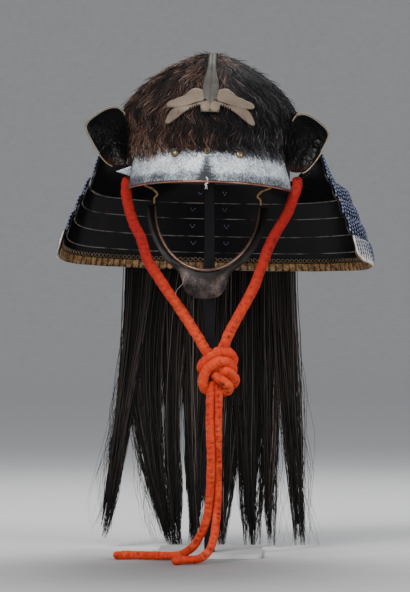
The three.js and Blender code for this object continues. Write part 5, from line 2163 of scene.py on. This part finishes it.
@dataclass
class Plume:
    """The long hair that hangs behind the guard: locks on a heading, and loose strands over them."""

    top_z: float = 0.551
    bottom_z: float = 0.383
    top_half: float = 0.092
    bottom_half: float = 0.115
    wall: float = 7 * MM
    tip_y: float = 0.186
    lap: float = 0.016
    lowest: float = 0.004
    strands: int = 1200
    groups: int = 3
    # Columns: centre and width at the guard's foot, centre and width halfway down, tip, tip's height.
    locks: Table = (
        (-100, 32, -119, 19, -150, 24),
        (-78, 46, -92, 46, -56, 9),
        (-50, 38, -56, 21, -50, 6),
        (-22, 40, -24, 31, -25, 12),
        (6, 36, 2, 28, 6, 26),
        (32, 40, 25, 27, 12, 7),
        (56, 44, 57, 47, 55, 7),
        (80, 36, 78, 21, 80, 5),
        (97, 28, 106, 27, 121, 5),
    )

    # Columns: height, half-width and depth behind the axis of what the hair hangs over.
    behind: Table = (
        (385.5, 222.5, 200), (409, 214.5, 189), (431, 204.2, 176), (455, 193.8, 163), (476, 183, 150),
        (504, 118, 132), (530, 118.6, 133.6), (560, 118.6, 133.6),
    )

    def rear_y(self, x: Array, z: Array) -> Array:
        """Depth of a face hung clear of the fur, then of the neck guard, at a place behind the helmet.

        Args:
            x: Across.
            z: Height.

        Returns:
            Depths.
        """
        clear = (2 + 15 * ease(-z, -0.540, -0.505)) * MM
        heights, sides, rears = (np.array(self.behind) * MM).T
        side = np.interp(z, heights, sides) + clear
        rear = np.interp(z, heights, rears) + clear
        return DOME.centre_y + rear * np.sqrt((1 - (x / side) ** 2).clip(0.05))

    def lock_line(self, lock: Array, share: Array) -> tuple[Array, Array]:
        """Centreline and width of locks, from the guard's foot (0) to the tip (1).

        The line is the parabola through foot, middle and tip. The width goes from the foot's to the
        middle's, and then falls as the root of what is left.

        Args:
            lock: Rows of the lock table in metres, (n, 6).
            share: How far along, (n, k).

        Returns:
            Points (n, k, 3) and widths (n, k).
        """
        x, width, mid_x, mid_width, tip_x, tip_z = (column[:, None] for column in lock.T)
        top = self.bottom_z + 0.016
        top_y = self.rear_y(x, np.full_like(x, self.bottom_z)) + self.wall / 2
        control = 2 * mid_x - (x + tip_x) / 2
        s = share
        line_x = (1 - s) ** 2 * x + 2 * s * (1 - s) * control + s**2 * tip_x
        y_end = top_y + (self.tip_y - top_y) * 0.7
        line_y = (1 - s) ** 2 * top_y + 2 * s * (1 - s) * top_y + s**2 * y_end
        line_z = (1 - s) ** 2 * top + 2 * s * (1 - s) * (top + tip_z) / 2 + s**2 * tip_z
        upper = width + (mid_width - width) * np.minimum(s * 2, 1)
        lower = mid_width * np.sqrt(2 * (1 - s).clip(0) + 0.004)
        return np.stack([line_x, line_y, line_z], -1), np.where(s < 0.5, upper, lower)

    def build(self) -> None:
        """Makes the heading, the locks and the strands."""
        self.mass()
        for group in range(self.groups):
            self.strand_group(group)

    def mass(self) -> None:
        """The heading as a wall behind the guard, and each lock as a flat tapering loft."""
        parts = MeshParts()
        columns, rows = 90, 30
        u, v = grid(columns, rows)
        z = self.top_z + (self.bottom_z - self.top_z) * v
        x = (2 * u - 1) * (self.top_half + (self.bottom_half - self.top_half) * v)
        near = self.rear_y(x, z)
        ridges = self.wall + 1.2 * MM * ripple(u * 60, v * 3, 33, 2)
        outer, inner = np.stack([x, near + ridges, z], -1), np.stack([x, near, z], -1)
        parts.shell(outer, inner, (0.22, 0.17))
        locks = np.array(self.locks) * MM
        share = np.broadcast_to(np.linspace(0, 0.93, 40), (len(locks), 40))
        line, width = self.lock_line(locks, share)
        turn = np.arange(24) * 2 * np.pi / 24
        thick = (6.5 - 4.5 * share) * MM
        core = 0.46 - 0.34 * ease(share, 0.3, 0.95)
        own = np.arange(len(locks))[:, None, None]
        wave = 1 + 0.12 * ripple(turn[None, None] * 3, share[..., None] * 3 + own, 35)
        reach = (width * core)[..., None] * np.cos(turn) * wave
        ring = np.stack([reach, thick[..., None] * np.sin(turn) * wave, 0 * wave], -1)
        flow = np.broadcast_to(plain_flow(40, 25, 0.4, 0.09)[..., ::-1], (len(locks), 40, 25, 2))
        parts.rings(line[:, :, None] + ring, flow)
        settle(parts.build("plume_locks"), PLUME_PELT, "hair", "hair_plume")

    def strand_group(self, group: int) -> None:
        """Hangs one group of strands, gathered in tufts.

        A tuft belongs to a lock, keeps its place across it, and has its own end, wave and tone. Its
        strands start somewhere on the heading, follow the back of the guard to its foot, then the
        lock's line, and draw together towards the tuft's end. A few stray out and curl.

        Args:
            group: The group's number.
        """
        draw = np.random.default_rng(200 + group)
        count, steps, tufts = self.strands, 15, 70
        locks = np.array(self.locks) * MM
        weight = locks[:, 1] / locks[:, 1].sum()
        home = draw.choice(len(locks), tufts, p=weight)
        place = draw.uniform(-1, 1, tufts)
        end_of = 1.03 - 0.16 * draw.beta(1.0, 2.6, tufts)
        wave_of, phase_of = draw.uniform(4, 10, tufts), draw.uniform(0, 6.3, tufts)
        tone_of = 0.24 + 0.42 * draw.beta(1.1, 2.4, tufts) * (1 + 1.1 * (draw.uniform(0, 1, tufts) > 0.8))
        tuft = draw.integers(0, tufts, count)
        lock = locks[home[tuft]]
        own = draw.normal(0, 0.22, count)[:, None]
        through = draw.normal(0, 0.55, count).clip(-1.2, 1.2)[:, None]
        start = draw.uniform(0, 1, count)[:, None]
        end = (end_of[tuft] * (1.01 - 0.18 * draw.beta(1.0, 2.2, count)))[:, None]
        s = np.linspace(0, 1, steps)[None] ** 0.9 * end
        line, width = self.lock_line(lock, s)
        width = np.maximum(width, 0.34 * lock[:, 3:4])
        across = place[tuft][:, None] + own * (1 - 0.6 * s**2)
        sway = 4.4 * MM * s * np.sin(s * wave_of[tuft][:, None] + phase_of[tuft][:, None])
        stray = draw.normal(0, 1.6, count)[:, None] * MM * s
        sway = sway + stray * np.sin(s * draw.uniform(8, 20, count)[:, None])
        loose = (draw.uniform(0, 1, count) > 0.9)[:, None] * (np.abs(lock[:, :1]) > 0.06)
        curl = np.sin(s * draw.uniform(6, 26, count)[:, None] + phase_of[tuft][:, None]) * 7 * MM
        drift = np.sign(lock[:, :1]) * draw.uniform(2, 24, count)[:, None] * MM
        x = line[..., 0] + across * width * 0.5 + sway + loose * (drift * s + curl * s)
        thick = (7.5 - 4.0 * s) * MM
        y = line[..., 1] + through * thick + draw.normal(0, 1.2, count)[:, None] * MM * s
        hang = np.stack([x, y, line[..., 2]], -1)
        top = self.bottom_z + (self.top_z - self.bottom_z) * start
        up = np.linspace(1, 0, 7)[None, :-1]
        foot = self.bottom_z + self.lap
        climb = foot + (top - self.bottom_z - self.lap) * up
        widen = self.top_half / self.bottom_half
        narrow = 1 + (widen - 1) * ((climb - self.bottom_z) / (self.top_z - self.bottom_z)).clip(0, 1)
        head_x = x[:, :1] * narrow
        head_y = self.rear_y(head_x, climb) + self.wall * (0.75 + 0.45 * through.clip(-0.4, 1))
        paths = np.concatenate([np.stack([head_x, head_y, climb], -1), hang], 1)
        paths[..., 2] = paths[..., 2].clip(self.lowest)
        share = np.linspace(0, 1, paths.shape[1])[None]
        tone = (tone_of[tuft] + draw.normal(0, 0.12, count))[:, None] * (0.75 + 0.4 * np.sin(np.pi * share))
        radius = draw.uniform(0.4, 0.75, count)[:, None] * MM * (1 - 0.7 * share**4) * (1 - 0.35 * loose)
        parts = MeshParts()
        parts.tubes(paths, radius, 3, tone=tone.clip(0, 1), facing=np.array([0.0, 1.0, 0.0]))
        settle(parts.build(f"plume_strands_{group + 1}"), PLUME_HAIR, "hair")


# ---- display stand


@dataclass
class Stand:
    """The plain black post and its grey foot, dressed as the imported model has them."""

    def build(self) -> None:
        """Copies both nodes, joins their loose faces and softens their edges."""
        for node, finish in (("stand_post", BLACK_PAINT), ("stand_foot", GREY_PAINT)):
            piece = bpy.data.objects.new(f"painted_{node}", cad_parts[node].data.copy())
            bpy.context.scene.collection.objects.link(piece)
            weld = piece.modifiers.new("weld", "WELD")
            weld.merge_threshold = 0.00002
            bevel = piece.modifiers.new("bevel", "BEVEL")
            bevel.width, bevel.segments, bevel.limit_method = 0.0007, 2, "ANGLE"
            settle(piece, finish, finish.name, node)


# ---- loose threads


@dataclass
class LooseThreads:
    """A knot of white thread at the visor's edge and a dusty thread below the chin guard."""

    knot: Table = (
        (0, -139, 499), (2, -141, 495), (-1, -140, 493.5), (2, -141, 491.5), (-1, -140, 490), (1, -140, 487),
    )
    hang: Table = (
        (-26, -101, 372), (-27.2, -105, 367), (-28.5, -107, 361), (-33.5, -106, 355.5), (-36, -105, 352),
        (-37, -104, 347),
    )

    def build(self) -> None:
        """Makes both as thin tubes."""
        parts = MeshParts()
        parts.tubes(leaned(smooth_path(np.array(self.knot) * MM, 50)), 1.0 * MM, 6)
        for end in (-1.6, 1.0):
            rough = [(0.5, -140, 489), (0.5 + end * 0.6, -140, 486.5), (0.5 + end, -139, 483.5)]
            parts.tubes(leaned(smooth_path(np.array(rough) * MM, 12)), 0.45 * MM, 6)
        settle(parts.build("white_thread_end"), WHITE_THREAD, "white_binding")
        parts = MeshParts()
        parts.tubes(leaned(smooth_path(np.array(self.hang) * MM, 40)), 0.35 * MM, 5)
        settle(parts.build("dusty_thread_end"), PALE_THREAD, "ochre_cord")


# ---- order of work


def main() -> None:
    """Builds the scene, the camera and cords first."""
    logging.basicConfig(level=logging.INFO, format="%(message)s")
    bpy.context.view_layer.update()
    studio = Studio()
    studio.camera()
    ChinCord().build()
    helmet = (Bowl(), Fur(), Visor(), Crest(), EarTurnBacks(), NeckGuard(), ChinGuard(), Plume())
    for part in (*helmet, Stand(), LooseThreads()):
        part.build()
    studio.floor()
    studio.lights()


if __name__ == "__main__":
    main()
